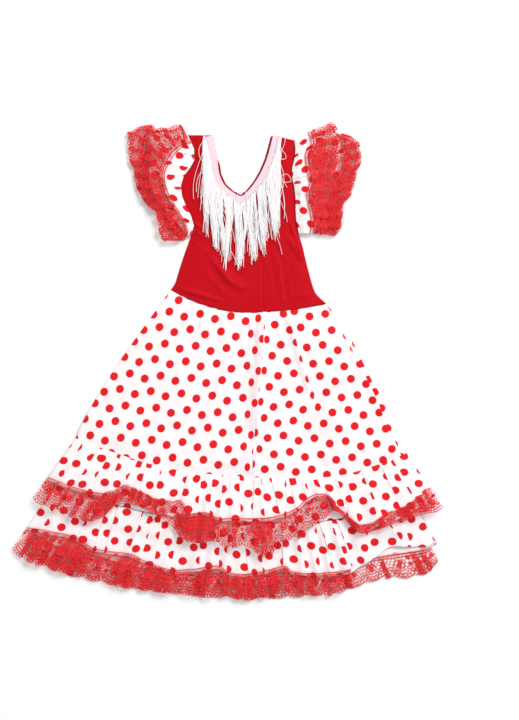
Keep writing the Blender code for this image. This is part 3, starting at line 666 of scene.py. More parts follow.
def along_line(x, y, x0, y0, x1, y1):
    """Share of the way along a line, and signed distance to its right, of points."""
    dx = x1 - x0
    dy = y1 - y0
    length = math.hypot(dx, dy)
    share = ((x - x0) * dx + (y - y0) * dy) / length ** 2
    side = ((x - x0) * dy - (y - y0) * dx) / length
    return share, side


def ridge(x, y, table):
    """Height of the folds of a table at points."""
    height = np.zeros_like(x)
    for x0, y0, x1, y1, top, half_width in table:
        share, side = along_line(x, y, x0, y0, x1, y1)
        ends = ease(np.minimum(share, 1.0 - share) / FOLD_TAPER)
        height += top * ends * np.clip(1.0 - (side / half_width) ** 2, 0.0, 1.0) ** 2
    return height


# Meshes


def mesh_object(name, points, faces, material, uv):
    """Object from points in millimetres and a list of face arrays, riding on the dress."""
    placed = np.array(points, np.float64).reshape(-1, 3) * MM
    placed[:, 0] -= CENTRE_X * MM
    placed[:, 1] -= CENTRE_Y * MM
    mesh = bpy.data.meshes.new(name)
    loops = np.concatenate([f.ravel() for f in faces]).astype(np.int32)
    sizes = np.concatenate([np.full(len(f), f.shape[1]) for f in faces]).astype(np.int32)
    starts = np.concatenate([[0], np.cumsum(sizes)[:-1]]).astype(np.int32)
    mesh.vertices.add(len(placed))
    mesh.vertices.foreach_set("co", placed.ravel())
    mesh.loops.add(len(loops))
    mesh.loops.foreach_set("vertex_index", loops)
    mesh.polygons.add(len(sizes))
    mesh.polygons.foreach_set("loop_start", starts)
    mesh.polygons.foreach_set("loop_total", sizes)
    mesh.update(calc_edges=True)
    layer = mesh.uv_layers.new(name="cloth")
    layer.data.foreach_set("uv", np.asarray(uv, float).reshape(-1, 2)[loops].ravel())
    mesh.shade_smooth()
    mesh.materials.append(material)
    made = bpy.data.objects.new(name, mesh)
    bpy.context.scene.collection.objects.link(made)
    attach(made, "root")
    return made


def grid_faces(across, down):
    """Quads of a grid of points stored row by row, facing up when rows go down the picture."""
    index = np.arange(across * down).reshape(down, across)
    a = index[:-1, :-1]
    b = index[:-1, 1:]
    c = index[1:, 1:]
    d = index[1:, :-1]
    return np.stack([a, d, c, b], axis=-1).reshape(-1, 4)


def upward(points, faces):
    """The faces, turned over if most of them face down."""
    corner = points[faces[:, 0]]
    normal = np.cross(points[faces[:, 1]] - corner, points[faces[:, 2]] - corner)
    if normal[:, 2].sum() < 0.0:
        return faces[:, ::-1]
    return faces


def tube(line, radius, sides, first=0):
    """Points and quads of a tube round a line, open at its ends, which other cloth covers."""
    line = np.asarray(line, float)
    ahead = np.gradient(line, axis=0)
    ahead /= np.maximum(np.linalg.norm(ahead, axis=1, keepdims=True), 1e-9)
    across = np.cross(ahead, [0.0, 0.0, 1.0])
    across /= np.maximum(np.linalg.norm(across, axis=1, keepdims=True), 1e-9)
    over = np.cross(across, ahead)
    turn = np.arange(sides) / sides * math.tau + 0.5
    ring = across[:, None, :] * np.cos(turn)[None, :, None]
    ring = ring + over[:, None, :] * np.sin(turn)[None, :, None]
    thick = np.broadcast_to(np.asarray(radius, float), (len(line),))
    points = line[:, None, :] + ring * thick[:, None, None]
    index = np.arange(len(line) * sides).reshape(len(line), sides)
    after = np.roll(index, -1, axis=1)
    faces = np.stack([index[:-1], index[1:], after[1:], after[:-1]], axis=-1).reshape(-1, 4)
    return points.reshape(-1, 3), faces + first


class Bundle:
    """Tubes gathered into one mesh."""

    def __init__(self):
        self.points = []
        self.faces = []
        self.count = 0

    def add(self, line, radius, sides):
        points, faces = tube(line, radius, sides, self.count)
        self.points.append(points)
        self.faces.append(faces)
        self.count += len(points)

    def build(self, name, material):
        every = np.concatenate(self.points)
        faces = [np.concatenate(self.faces)]
        return mesh_object(name, every, faces, material, every[:, :2] * MM)


def shell(name, u, v, place, material, nodes, tone=None):
    """Thin shell over a grid of shares u and v, where place gives top points and print places."""
    grid_u, grid_v = np.meshgrid(u, v)
    x, y, z, s, t = place(grid_u, grid_v)
    points = np.stack([x, y, z], axis=-1).reshape(-1, 3)
    uv = np.stack([s * MM, t * MM], axis=-1).reshape(-1, 2)
    faces = upward(points, grid_faces(len(u), len(v)))
    made = mesh_object(name, points, [faces], material, uv)
    if tone is not None:
        layer = made.data.attributes.new("tone", "FLOAT", "POINT")
        layer.data.foreach_set("value", tone(points[:, 0], points[:, 1]))
    thick = made.modifiers.new("Thickness", "SOLIDIFY")
    thick.thickness = SHELL * MM
    thick.offset = -1.0
    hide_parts(*nodes)
    return made


def cloth(node, u, v, place, material, tone=None):
    """Shell that stands for one node of cloth."""
    return shell(f"{node}_cloth", u, v, place, material, [node], tone)


# Materials


def new_material(name, colour, roughness, sheen=0.0):
    """Principled material with its node tree's shader."""
    made = bpy.data.materials.new(name)
    made.use_nodes = True
    shader = made.node_tree.nodes["Principled BSDF"]
    shader.inputs["Base Color"].default_value = (*colour, 1.0)
    shader.inputs["Roughness"].default_value = roughness
    shader.inputs["Sheen Weight"].default_value = sheen
    shader.inputs["Sheen Roughness"].default_value = 0.5
    shader.inputs["Specular IOR Level"].default_value = SPECULAR
    return made, made.node_tree, shader


def add_node(tree, kind, values=None, **settings):
    """A node with its settings, and values for its inputs by name or number."""
    made = tree.nodes.new(kind)
    for key, value in settings.items():
        setattr(made, key, value)
    for key, value in (values or {}).items():
        made.inputs[key].default_value = value
    return made


def math_node(tree, operation, first, second=None):
    """A maths node on sockets or plain numbers, and its output."""
    made = tree.nodes.new("ShaderNodeMath")
    made.operation = operation
    for number, value in enumerate((first, second)):
        if value is None:
            continue
        if isinstance(value, (int, float)):
            made.inputs[number].default_value = value
        else:
            tree.links.new(value, made.inputs[number])
    return made.outputs[0]


def vector_node(tree, operation, first, second=None):
    """A vector maths node on a socket and, if it takes one, a plain vector."""
    made = add_node(tree, "ShaderNodeVectorMath", operation=operation)
    tree.links.new(first, made.inputs[0])
    if second is not None:
        made.inputs[1].default_value = second
    return made


def add_noise(tree, scale, detail, places=None):
    """Output of a noise texture, on the print's own places if they are given."""
    noise = add_node(tree, "ShaderNodeTexNoise", {"Scale": scale, "Detail": detail})
    if places is not None:
        tree.links.new(places.outputs[0], noise.inputs["Vector"])
    return noise.outputs[0]


def add_mix(tree, factor, first, second):
    """Colour on the way from the first, a colour or a socket, to the second, a colour."""
    made = add_node(tree, "ShaderNodeMix", data_type="RGBA")
    made.inputs["B"].default_value = (*second, 1.0)
    if isinstance(first, tuple):
        made.inputs["A"].default_value = (*first, 1.0)
    else:
        tree.links.new(first, made.inputs["A"])
    tree.links.new(factor, made.inputs["Factor"])
    return made.outputs["Result"]


def add_bump(tree, shader, height, strength, distance):
    """Bump from a socket of heights, its distance in millimetres."""
    bump = add_node(tree, "ShaderNodeBump", {"Strength": strength, "Distance": distance * MM})
    tree.links.new(height, bump.inputs["Height"])
    tree.links.new(bump.outputs[0], shader.inputs["Normal"])


def add_weave(tree, shader, pitch, strength, distance):
    """Bump of a plain weave or knit on the print's own places, with a little unevenness."""
    places = add_node(tree, "ShaderNodeUVMap", uv_map="cloth")
    split = add_node(tree, "ShaderNodeSeparateXYZ")
    tree.links.new(places.outputs[0], split.inputs[0])
    rate = math.tau / (pitch * MM)
    across = math_node(tree, "SINE", math_node(tree, "MULTIPLY", split.outputs[0], rate))
    down = math_node(tree, "SINE", math_node(tree, "MULTIPLY", split.outputs[1], rate))
    noise = add_noise(tree, 900.0, 3.0, places)
    height = math_node(tree, "ADD", math_node(tree, "MULTIPLY", across, down), noise)
    add_bump(tree, shader, height, strength, distance)


def dot_mask(tree, shift=(0.0, 0.0), mirrored=False):
    """Socket that is 1 inside the print's dots and 0 outside them."""
    places = add_node(tree, "ShaderNodeUVMap", uv_map="cloth")
    turned = add_node(tree, "ShaderNodeMapping")
    scale = 1.0 / (DOT_REPEAT * MM)
    turn = DOT_TURN if mirrored else -DOT_TURN
    turned.inputs["Location"].default_value = (shift[0] * scale, shift[1] * scale, 0.0)
    turned.inputs["Rotation"].default_value = (0.0, 0.0, math.radians(turn))
    turned.inputs["Scale"].default_value = (scale, scale, scale)
    tree.links.new(places.outputs[0], turned.inputs["Vector"])
    radius = DOT_DIAMETER / DOT_REPEAT / 2.0
    total = None
    for across, down in DOT_PLACES:
        moved = vector_node(tree, "ADD", turned.outputs[0], (0.5 - across, 0.5 + down, 0.0))
        within = vector_node(tree, "FRACTION", moved.outputs[0])
        off = vector_node(tree, "SUBTRACT", within.outputs[0], (0.5, 0.5, 0.0))
        flat = vector_node(tree, "MULTIPLY", off.outputs[0], (1.0, 1.0, 0.0))
        length = vector_node(tree, "LENGTH", flat.outputs[0])
        limits = {"From Min": radius + DOT_BLUR, "From Max": radius - DOT_BLUR}
        inside = add_node(tree, "ShaderNodeMapRange", limits)
        tree.links.new(length.outputs["Value"], inside.inputs["Value"])
        dot = inside.outputs[0]
        total = dot if total is None else math_node(tree, "MAXIMUM", total, dot)
    return total


def printed_cotton(name, plain, shaded, dot_colour, ghosts):
    """Cotton with the print's dots, uneven in tone, with the layer behind it faintly seen."""
    made, tree, shader = new_material(name, plain, 0.85, 0.05)
    colour = add_mix(tree, add_noise(tree, 28.0, 4.0), plain, shaded)
    tone = add_node(tree, "ShaderNodeAttribute", attribute_name="tone")
    colour = add_mix(tree, tone.outputs["Fac"], colour, INSIDE_COTTON)
    layers = [(dot_mask(tree), 1.0)]
    if ghosts:
        layers.insert(0, (dot_mask(tree, GHOST_SHIFT, True), GHOST_STRENGTH))
    for mask, strength in layers:
        colour = add_mix(tree, math_node(tree, "MULTIPLY", mask, strength), colour, dot_colour)
    tree.links.new(colour, shader.inputs["Base Color"])
    add_weave(tree, shader, 0.6, 0.25, 0.15)
    return made


def bodice_knit():
    """Red stretch knit with fine ribs, matt and a little uneven."""
    made, tree, shader = new_material("bodice_knit", KNIT_RED, 0.55)
    shader.inputs["Specular IOR Level"].default_value = KNIT_SPECULAR
    tint = add_mix(tree, add_noise(tree, 45.0, 5.0), KNIT_DARK, KNIT_LIGHT)
    tree.links.new(tint, shader.inputs["Base Color"])
    add_weave(tree, shader, 0.8, 0.3, 0.2)
    return made


def lace_thread():
    """Red lace thread, darker and lighter along the net."""
    made, tree, shader = new_material("lace_thread", LACE_RED, 0.6)
    places = add_node(tree, "ShaderNodeUVMap", uv_map="cloth")
    tint = add_mix(tree, add_noise(tree, 260.0, 3.0, places), LACE_DARK, LACE_LIGHT)
    tree.links.new(tint, shader.inputs["Base Color"])
    add_bump(tree, shader, add_noise(tree, 1800.0, 2.0, places), 0.5, 0.2)
    return made


def plain_thread(name, colour, roughness, contrast):
    """Thread or tape of one colour, a little uneven."""
    made, tree, shader = new_material(name, colour, roughness, 0.2)
    noise = add_noise(tree, 400.0, 3.0)
    darker = tuple(value * (1.0 - contrast) for value in colour)
    tree.links.new(add_mix(tree, noise, darker, colour), shader.inputs["Base Color"])
    add_bump(tree, shader, noise, 0.4, 0.2)
    return made


# Bodice and skirt


def bodice_place(rows, sag, side, back):
    """Function that places a half bodice: u from the side to the middle, v from waist to shoulder."""
    table = np.array(rows, float)
    order = np.arange(len(rows))

    def place(u, v):
        index = v * (len(rows) - 1)
        outer_x = smooth_value(order, table[:, 0], index)
        outer_y = smooth_value(order, table[:, 1], index)
        inner_x = np.interp(index, order, table[:, 2])
        middle_x = inner_x
        if not back:
            inner_x = inner_x + side * SEAM_CLOSE * ease((NECK_ROW - index) / 0.5)
        inner_y = np.interp(index, order, table[:, 3])
        if back:
            shown = ease((BACK_NECK_HIDDEN[side] - inner_y) / BACK_NECK_FADE)
            rise = mix(-BACK_NECK_TUCK, BACK_NECK_RISE, shown)
            inner_x = inner_x + side * rise * np.clip(index - NECK_ROW, 0.0, 1.0)
            inner_y = inner_y + BACK_NECK_RISE * np.clip(1.0 - abs(index - NECK_ROW), 0.0, 1.0)
        x = mix(outer_x, inner_x, u)
        y = mix(outer_y, inner_y, u)
        y = y - sag * 4.0 * u * (1.0 - u) * ease(1.0 - index / ARMHOLE_ROW)
        if back:
            return x, y, np.full_like(x, WALL), x, y
        inside = abs(inner_x - outer_x) * u
        room = ROOM * ease(inside / ROOM_REACH)
        z = 2.0 * WALL + SEAM + room + ridge(x, y, BODICE_CREASES) + ridge(x, y, FINE_CREASES)
        calm = ease(inside / 12.0) * ease(index / 1.5)
        z = z + calm * 0.35 * (1.0 + soft_noise(x + 0.4 * y, y - 0.3 * x, 22.0, 3))
        z = z + 0.25 * (1.0 + soft_noise(x, y, 7.0, 4)) * calm * ease(1.0 - index / 5.0)
        z = z - SEAM_GROOVE * np.exp(-(((middle_x - x) / 1.4) ** 2)) * ease(NECK_ROW - index)
        return x, y, z, x, y

    return place


def make_bodice(knit):
    """Two fronts and two backs."""
    halves = (
        ("left", LEFT_ROWS, LEFT_WAIST_SAG, 1.0),
        ("right", RIGHT_ROWS, RIGHT_WAIST_SAG, -1.0),
    )
    made = []
    for label, rows, sag, side in halves:
        front = bodice_place(rows, sag, side, False)
        back = bodice_place(rows, sag, side, True)
        u = np.linspace(0.0, 1.0, 61)
        v = np.linspace(0.0, 1.0, 121)
        made.append(cloth(f"bodice_front_{label}", u, v, front, knit))
        u = np.linspace(0.0, 1.0, 21)
        v = np.linspace(0.0, 1.0, 61)
        made.append(cloth(f"bodice_back_{label}", u, v, back, knit))
    return made


def waist(rows, sag):
    """Waist edge of a half skirt from its side to the middle, just below the bodice's own edge."""
    outer = np.array(rows[0][:2], float)
    inner = np.array(rows[0][2:], float)

    def at(u):
        u = np.asarray(u)[..., None]
        point = mix(outer, inner, u)
        drop = sag * 4.0 * u * (1.0 - u) + SEAM
        return point - drop * np.array([0.0, 1.0])

    return at


def back_lift(x, y):
    """Height of the skirt back's underside, which rises over the back ruffle."""
    angle, radius = to_fan(x, y)
    below = radius - UPPER_SEAM_REACH.at(angle)
    return BACK_LIFT * ease((below - LIFT_START) / (LIFT_END - LIFT_START))


def hem_between(start, end):
    """Lower edge of a gore between two corners, along the line that the lower ruffle is sewn to."""
    first = to_fan(*start)[0]
    last = to_fan(*end)[0]

    def at(u):
        angle = mix(first, last, np.asarray(u))
        return np.stack(from_fan(angle, LOWER_SEAM_REACH.at(angle)), axis=-1)

    return at


def patch(left, right, top, bottom):
    """Function that fills the space between four edges, u from left to right and v from top down."""
    corners = (left(0.0), right(0.0), left(1.0), right(1.0))

    def place(u, v):
        wide = u[..., None]
        deep = v[..., None]
        ruled = mix(top(u), bottom(u), deep) + mix(left(v), right(v), wide)
        upper = mix(corners[0], corners[1], wide)
        lower = mix(corners[2], corners[3], wide)
        return ruled - mix(upper, lower, deep)

    return place


def centre_seam_x(y):
    """Place across of the centre front seam at a height on the skirt."""
    table = np.array(CENTRE_FRONT, float)
    return np.interp(-y, -table[:, 1], table[:, 0])


def seam_tone(x, y):
    """How pink the left front gore looks, where the seam's printed turnings lie behind it."""
    off = centre_seam_x(y) - x
    return 0.9 * ease(off / 1.5) * ease((TURNING_WIDTH - off) / 5.0)


def gore_print(x, y, side):
    """Places of the print on a front gore, squeezed or jumping where a fold hides cloth."""
    if side > 0:
        start = SQUEEZE_START[0] + SQUEEZE_START[1] * ease((90.0 - y) / 360.0)
        over = np.maximum(x - start, 0.0)
        across = x + SQUEEZE * over * ease(over / 14.0) - LEFT_DOT[0]
        down = y - LEFT_DOT[1]
        (first, second), (third, fourth) = LEFT_PULL
        return first * across + second * down, third * across + fourth * down
    share, across = along_line(x, y, *TUCK)
    reach = ease((1.3 - share) / 0.6)
    jump = TUCK_HIDDEN * reach * ease(across / TUCK_EDGE + 0.5)
    near = np.maximum(centre_seam_x(y) + RIGHT_SQUEEZE_REACH - x, 0.0)
    return x - jump - RIGHT_SQUEEZE * near - RIGHT_DOT[0], y - RIGHT_DOT[1]


def skirt_front_place(side_edge, rows, sag, side):
    """Function that places a front gore, u from its side seam to the centre seam."""
    side_line = Edge(side_edge)
    centre_line = Edge(CENTRE_FRONT)
    hem = hem_between(side_edge[-1], CENTRE_FRONT[-1])
    flat = patch(side_line.at, centre_line.at, waist(rows, sag), hem)

    def place(u, v):
        point = flat(u, v)
        x = point[..., 0]
        y = point[..., 1]
        width = np.linalg.norm(centre_line.at(v) - side_line.at(v), axis=-1)
        room = ROOM * ease(width * u / ROOM_REACH)
        angle, radius = to_fan(x, y)
        seam = UPPER_SEAM_REACH.at(angle)
        open_share = ease((seam - radius) / 20.0) * ease(v / 0.05) * ease(width * u / 30.0)
        z = back_lift(x, y) + 2.0 * WALL + SEAM + room + ridge(x, y, SKIRT_FOLDS)
        z = z + ridge(x, y, WAIST_GATHERS) * ease(v / 0.01)
        z = z + open_share * 1.3 * (1.0 + soft_noise(angle * 6.0, radius * 0.35, 26.0, 11))
        near_waist = ease((170.0 - (radius - 120.0)) / 150.0)
        z = z + open_share * near_waist * 0.9 * (1.0 + soft_noise(angle * 9.0, radius * 0.15, 9.0, 12))
        s, t = gore_print(x, y, side)
        off = abs(centre_seam_x(y) - x)
        z = z - SKIRT_GROOVE * np.exp(-((off / 1.6) ** 2)) * ease(v / 0.02)
        return x + side * ease((u - 0.9) / 0.1) * SEAM_CLOSE, y, z, s, t

    return place


def skirt_back_place():
    """Function that places the skirt's back gore from its left to its right side seam."""
    left_waist = waist(LEFT_ROWS, LEFT_WAIST_SAG)
    right_waist = waist(RIGHT_ROWS, RIGHT_WAIST_SAG)
    left_share = 0.6

    def back_waist(u):
        u = np.asarray(u)
        on_left = left_waist(np.clip(u / left_share, 0.0, 1.0))
        on_right = right_waist(np.clip((1.0 - u) / (1.0 - left_share), 0.0, 1.0))
        return np.where((u < left_share)[..., None], on_left, on_right)

    hem = hem_between(LEFT_SIDE[-1], RIGHT_SIDE_BACK[-1])
    flat = patch(Edge(LEFT_SIDE).at, Edge(RIGHT_SIDE_BACK).at, back_waist, hem)

    def place(u, v):
        point = flat(u, v)
        x = point[..., 0]
        y = point[..., 1]
        return x, y, back_lift(x, y) + WALL, x, y

    return place


def make_skirt(cotton):
    """Two front gores on one back gore."""
    left = skirt_front_place(LEFT_SIDE, LEFT_ROWS, LEFT_WAIST_SAG, 1.0)
    right = skirt_front_place(RIGHT_SIDE, RIGHT_ROWS, RIGHT_WAIST_SAG, -1.0)
    u = np.linspace(0.0, 1.0, 111)
    v = np.linspace(0.0, 1.0, 111)
    made = [
        cloth("skirt_front_left", u, v, left, cotton, seam_tone),
        cloth("skirt_front_right", u, v, right, cotton),
    ]
    u = np.linspace(0.0, 1.0, 51)
    v = np.linspace(0.0, 1.0, 41)
    made.append(cloth("skirt_back", u, v, skirt_back_place(), cotton))
    return made


# Ruffles


def wave(angle, span, count):
    """Height from 0 to 1 of a ruffle's waves, unevenly spaced along the ruffle."""
    share = (angle - span[0]) / (span[1] - span[0])
    drift = 0.55 * np.sin(9.0 * share + 0.6) + 0.35 * np.sin(23.0 * share + 2.0)
    uneven = 0.72 + 0.28 * np.sin(17.0 * share + 1.0)
    return uneven * (0.5 - 0.5 * np.cos(2.0 * math.pi * (count * share + drift)))


def side_share(angle, span):
    """0 at a ruffle's side edges and 1 further in."""
    return ease((angle - span[0]) / SIDE_FADE) * ease((span[1] - angle) / SIDE_FADE)


def upper_level(angle, radius):
    """Height of the upper ruffle's underside."""
    seam = UPPER_SEAM_REACH.at(angle)
    depth = np.maximum((radius - seam) / (UPPER_HEM_REACH.at(angle) - seam), 0.0)
    inner = side_share(angle, UPPER_SPAN)
    start = SKIRT_TOP + SEAM + ROOM * inner
    base = mix(start, mix(start, UPPER_CREST, inner), ease(depth / CREST_SHARE))
    height = UPPER_WAVE_HEIGHT * mix(SEAM_SHARE, 1.0, np.minimum(depth, 1.0)) * inner
    height = height * ease(depth / 0.1)
    return base + height * wave(angle, UPPER_SPAN, UPPER_WAVES)


def upper_back_level(angle, radius):
    """Height of the upper back ruffle's underside."""
    below = (radius - UPPER_SEAM_REACH.at(angle)) / UPPER_BACK_DEPTH
    ripple = BACK_WAVE_HEIGHT * wave(angle, UPPER_SPAN, BACK_WAVES) * side_share(angle, UPPER_SPAN)
    return mix(BACK_LIFT - SEAM - WALL, ripple, ease(below / BACK_DROP_SHARE))


def lower_back_level(angle, radius):
    """Height of the lower back ruffle's underside: on the upper one, then down on the floor."""
    below = radius - UPPER_SEAM_REACH.at(angle)
    fall = ease((below - BACK_FALL_START) / (BACK_FALL_END - BACK_FALL_START))
    ripple = BACK_WAVE_HEIGHT * wave(angle, LOWER_SPAN, BACK_WAVES) * side_share(angle, LOWER_SPAN)
    return BACK_LIFT * (1.0 - fall) + ripple * fall


def lower_level(angle, radius):
    """Height of the lower front ruffle's underside."""
    seam = LOWER_SEAM_REACH.at(angle)
    depth = np.clip((radius - seam) / (LOWER_HEM_REACH.at(angle) - seam), 0.0, 1.0)
    inner = side_share(angle, LOWER_SPAN)
    below = radius - UPPER_SEAM_REACH.at(angle)
    fall = ease((below - BACK_FALL_START) / (BACK_FALL_END - BACK_FALL_START))
    base = BACK_LIFT * (1.0 - fall) + WALL + SEAM + ROOM * inner
    height = LOWER_WAVE_HEIGHT * mix(SEAM_SHARE, 1.0, depth) * inner * ease(depth / 0.1)
    return base + height * wave(angle, LOWER_SPAN, LOWER_WAVES)


class Folds:
    """Folds of a gathered strip: ones listed, and small gathers along its seam."""

    def __init__(self, rows, span, radius, seed):
        chance = np.random.default_rng(seed)
        rows = sorted(rows)
        self.span = span
        self.radius = radius
        self.angles = np.array([row[0] for row in rows])
        self.hidden = np.array([row[1] for row in rows], float)
        self.sides = np.array([row[2] for row in rows], float)
        self.heights = np.array([row[3] for row in rows], float)
        self.reaches = np.array([row[4] for row in rows], float)
        ends = np.concatenate([[span[0]], self.angles, [span[1]]])
        self.middles = (ends[1:] + ends[:-1]) / 2.0
        taken = np.concatenate([[0.0], np.cumsum(self.hidden)])
        self.starts = np.radians(self.middles) * radius + taken
        self.length = math.radians(span[1] - span[0]) * radius + taken[-1]
        places = []
        place = math.radians(span[0]) * radius + 6.0
        while place < math.radians(span[1]) * radius - 6.0:
            places.append(math.degrees(place / radius))
            place += chance.uniform(*GATHER_PITCH)
        self.small = np.array(places)
        count = len(places)
        self.small_heights = chance.uniform(*GATHER_HEIGHT, count)
        self.small_reaches = chance.uniform(*GATHER_REACH, count)
        self.small_hidden = chance.uniform(*GATHER_HIDDEN, count)
        self.small_sides = np.where(chance.uniform(0.0, 1.0, count) < 0.5, 1.0, -1.0)
        self.leans = chance.uniform(-FOLD_LEAN, FOLD_LEAN, len(rows))

    def lean(self, angle):
        return np.interp(angle, self.angles, self.leans)

    def height(self, angle, radius, depth):
        total = np.zeros_like(angle)
        for centre, top, side, reach in zip(self.angles, self.heights, self.sides, self.reaches):
            crest = fold_crest(angle, radius, centre, side, FOLD_SLOPE)
            total = np.maximum(total, top * crest * fold_fade(depth, reach))
        for centre, top, side, reach in zip(
            self.small, self.small_heights, self.small_sides, self.small_reaches
        ):
            crest = fold_crest(angle, radius, centre, side, FOLD_SLOPE / 2.0)
            total = np.maximum(total, top * crest * fold_fade(depth, reach))
        return total

    def print_place(self, angle, radius, depth):
        panel = np.zeros(angle.shape, int)
        for centre, side in zip(self.angles, self.sides):
            panel += np.radians(angle - centre) * radius > side * FOLD_EDGE
        s = self.starts[panel] + np.radians(angle - self.middles[panel]) * radius
        for centre, side, reach, hidden in zip(
            self.small, self.small_sides, self.small_reaches, self.small_hidden
        ):
            off = np.radians(angle - centre) * radius - side * FOLD_EDGE
            s += 0.5 * hidden * np.sign(off) * np.exp(-abs(off) / GATHER_DECAY) * fold_fade(depth, reach)
        return s

    def columns(self, base, radius):
        """Shares of a grid's columns: an even set, and close ones at each fold's edge."""
        every = list(np.linspace(self.span[0], self.span[1], base))
        for centre, side in zip(
            np.concatenate([self.angles, self.small]), np.concatenate([self.sides, self.small_sides])
        ):
            every += [centre + side * math.degrees(offset / radius) for offset in FOLD_OFFSETS]
        every = np.array(sorted(every))
        every = every[(every >= self.span[0]) & (every <= self.span[1])]
        kept = [every[0]]
        for value in every[1:]:
            if value - kept[-1] > 0.02:
                kept.append(value)
        kept[-1] = self.span[1]
        return (np.array(kept) - self.span[0]) / (self.span[1] - self.span[0])


def fold_crest(angle, radius, centre, side, slope):
    """Height from 0 to 1 across a fold that rises slowly and drops at its edge."""
    off = np.radians(angle - centre) * radius * side
    return np.where(off < 0.0, np.exp(np.minimum(off, 0.0) / slope), ease(1.0 - off / FOLD_DROP))


def fold_fade(depth, reach):
    """How much of a fold is left at a depth, from 1 at the seam to 0 at the fold's reach."""
    return ease((1.0 - depth / reach) / 0.6)


def ruffle_folds(table, span, radius, seed):
    """Folds of a ruffle from a table of their places."""
    rows = [(float(to_fan(x, y)[0]), *rest) for x, y, *rest in table]
    return Folds([row for row in rows if span[0] + 0.5 < row[0] < span[1] - 0.5], span, radius, seed)


def ruffle_place(span, seam, hem, level, folds, offset):
    """Function that places a front ruffle's cloth, u along it and v from seam to hem."""

    def place(u, v):
        angle = mix(span[0], span[1], u)
        ends = side_share(angle, span)
        bent = angle + folds.lean(angle) * (v - 0.5) * ends
        inner = seam(bent)
        radius = mix(inner, hem(bent), v)
        height = folds.height(angle, radius, v) * ends * ease(v / 0.03)
        fine = 0.3 * (1.0 + soft_noise(angle * 8.0, radius * 0.2, 5.0, 21)) * ease((0.6 - v) / 0.6)
        z = level(bent, radius) + WALL + height + fine * ends - SEAM_DROP * ease(1.0 - v / 0.04)
        x, y = from_fan(bent, radius)
        s = folds.print_place(angle, radius, v)
        return x, y, z, s + offset[0], inner - radius + offset[1]

    return place


def back_ruffle_place(span, seam, hem, level, offset):
    """Function that places a back ruffle's cloth."""

    def place(u, v):
        angle = mix(span[0], span[1], u)
        inner = seam(angle)
        radius = mix(inner, hem(angle), v)
        x, y = from_fan(angle, radius)
        s = np.radians(angle) * hem(np.zeros(1)) * BACK_FULLNESS
        return x, y, level(angle, radius) + WALL, s + offset[0], inner - radius + offset[1]

    return place


# Lace


class LacePath:
    """How a lace's own length lies along its band: it doubles back at pleats and turns over at turns."""

    def __init__(self, length, pleats, turns=()):
        own = [0.0]
        path = [0.0]
        layer = [0.0]
        turned = [0.0]
        for centre, width in sorted(pleats + turns):
            start = centre * length
            own.append(own[-1] + start + width / 2 - path[-1])
            path.append(start + width / 2)
            layer.append(0.0)
            turned.append(turned[-1])
            own.append(own[-1] + width)
            path.append(start - width / 2)
            layer.append(1.0)
            turned.append(1.0 - turned[-1] if (centre, width) in turns else turned[-1])
        own.append(own[-1] + length - path[-1])
        path.append(length)
        layer.append(0.0)
        turned.append(turned[-1])
        self.own = np.array(own)
        self.path = np.array(path)
        self.layer = np.array(layer)
        self.turned = np.array(turned)
        self.length = length
        self.total = own[-1]

    def at(self, s):
        share = np.interp(s, self.own, self.path) / self.length
        turned = ease(np.interp(s, self.own, self.turned))
        return share, np.interp(s, self.own, self.layer), turned


def light_wave(s, depth):
    """Distance across of the lace's light wave at places along it."""
    return depth * (WAVE_ROW + WAVE_SWING * np.cos(math.tau * ((s / FLOWER_REPEAT) % 1.0 - 0.5)))


def lace_pattern(s, t, depth):
    """How much of a cell of the lace is a hole at a place, from 0, solid, to 1, open."""
    phase = (s / FLOWER_REPEAT) % 1.0 - 0.5
    dx = phase * FLOWER_REPEAT
    dy = t - FLOWER_ROW * depth
    distance = np.hypot(dx, dy * 1.1)
    petals = 7.2 + 2.0 * np.cos(6.0 * np.arctan2(dy, dx))
    hole = np.full_like(s, NET_HOLE)
    hole[(distance < petals) & (distance > HEART_RADIUS)] = PETAL_HOLE
    hole[distance <= HEART_RADIUS] = HEART_HOLE
    side_x = (0.5 - abs(phase)) * FLOWER_REPEAT
    hole[np.hypot(side_x / 1.5, (t - LEAF_ROW * depth) / 3.6) < 1.0] = LEAF_HOLE
    hole[np.hypot(side_x, t - BUD_ROW * depth) < 2.6] = LEAF_HOLE
    light = light_wave(s, depth)
    hole[abs(t - light) < WAVE_HALF_WIDTH] = WAVE_HOLE
    hole[t > light + WAVE_HALF_WIDTH] = EDGE_HOLE
    hole[t < HEADER_WIDTH] = HEADER_HOLE
    return hole


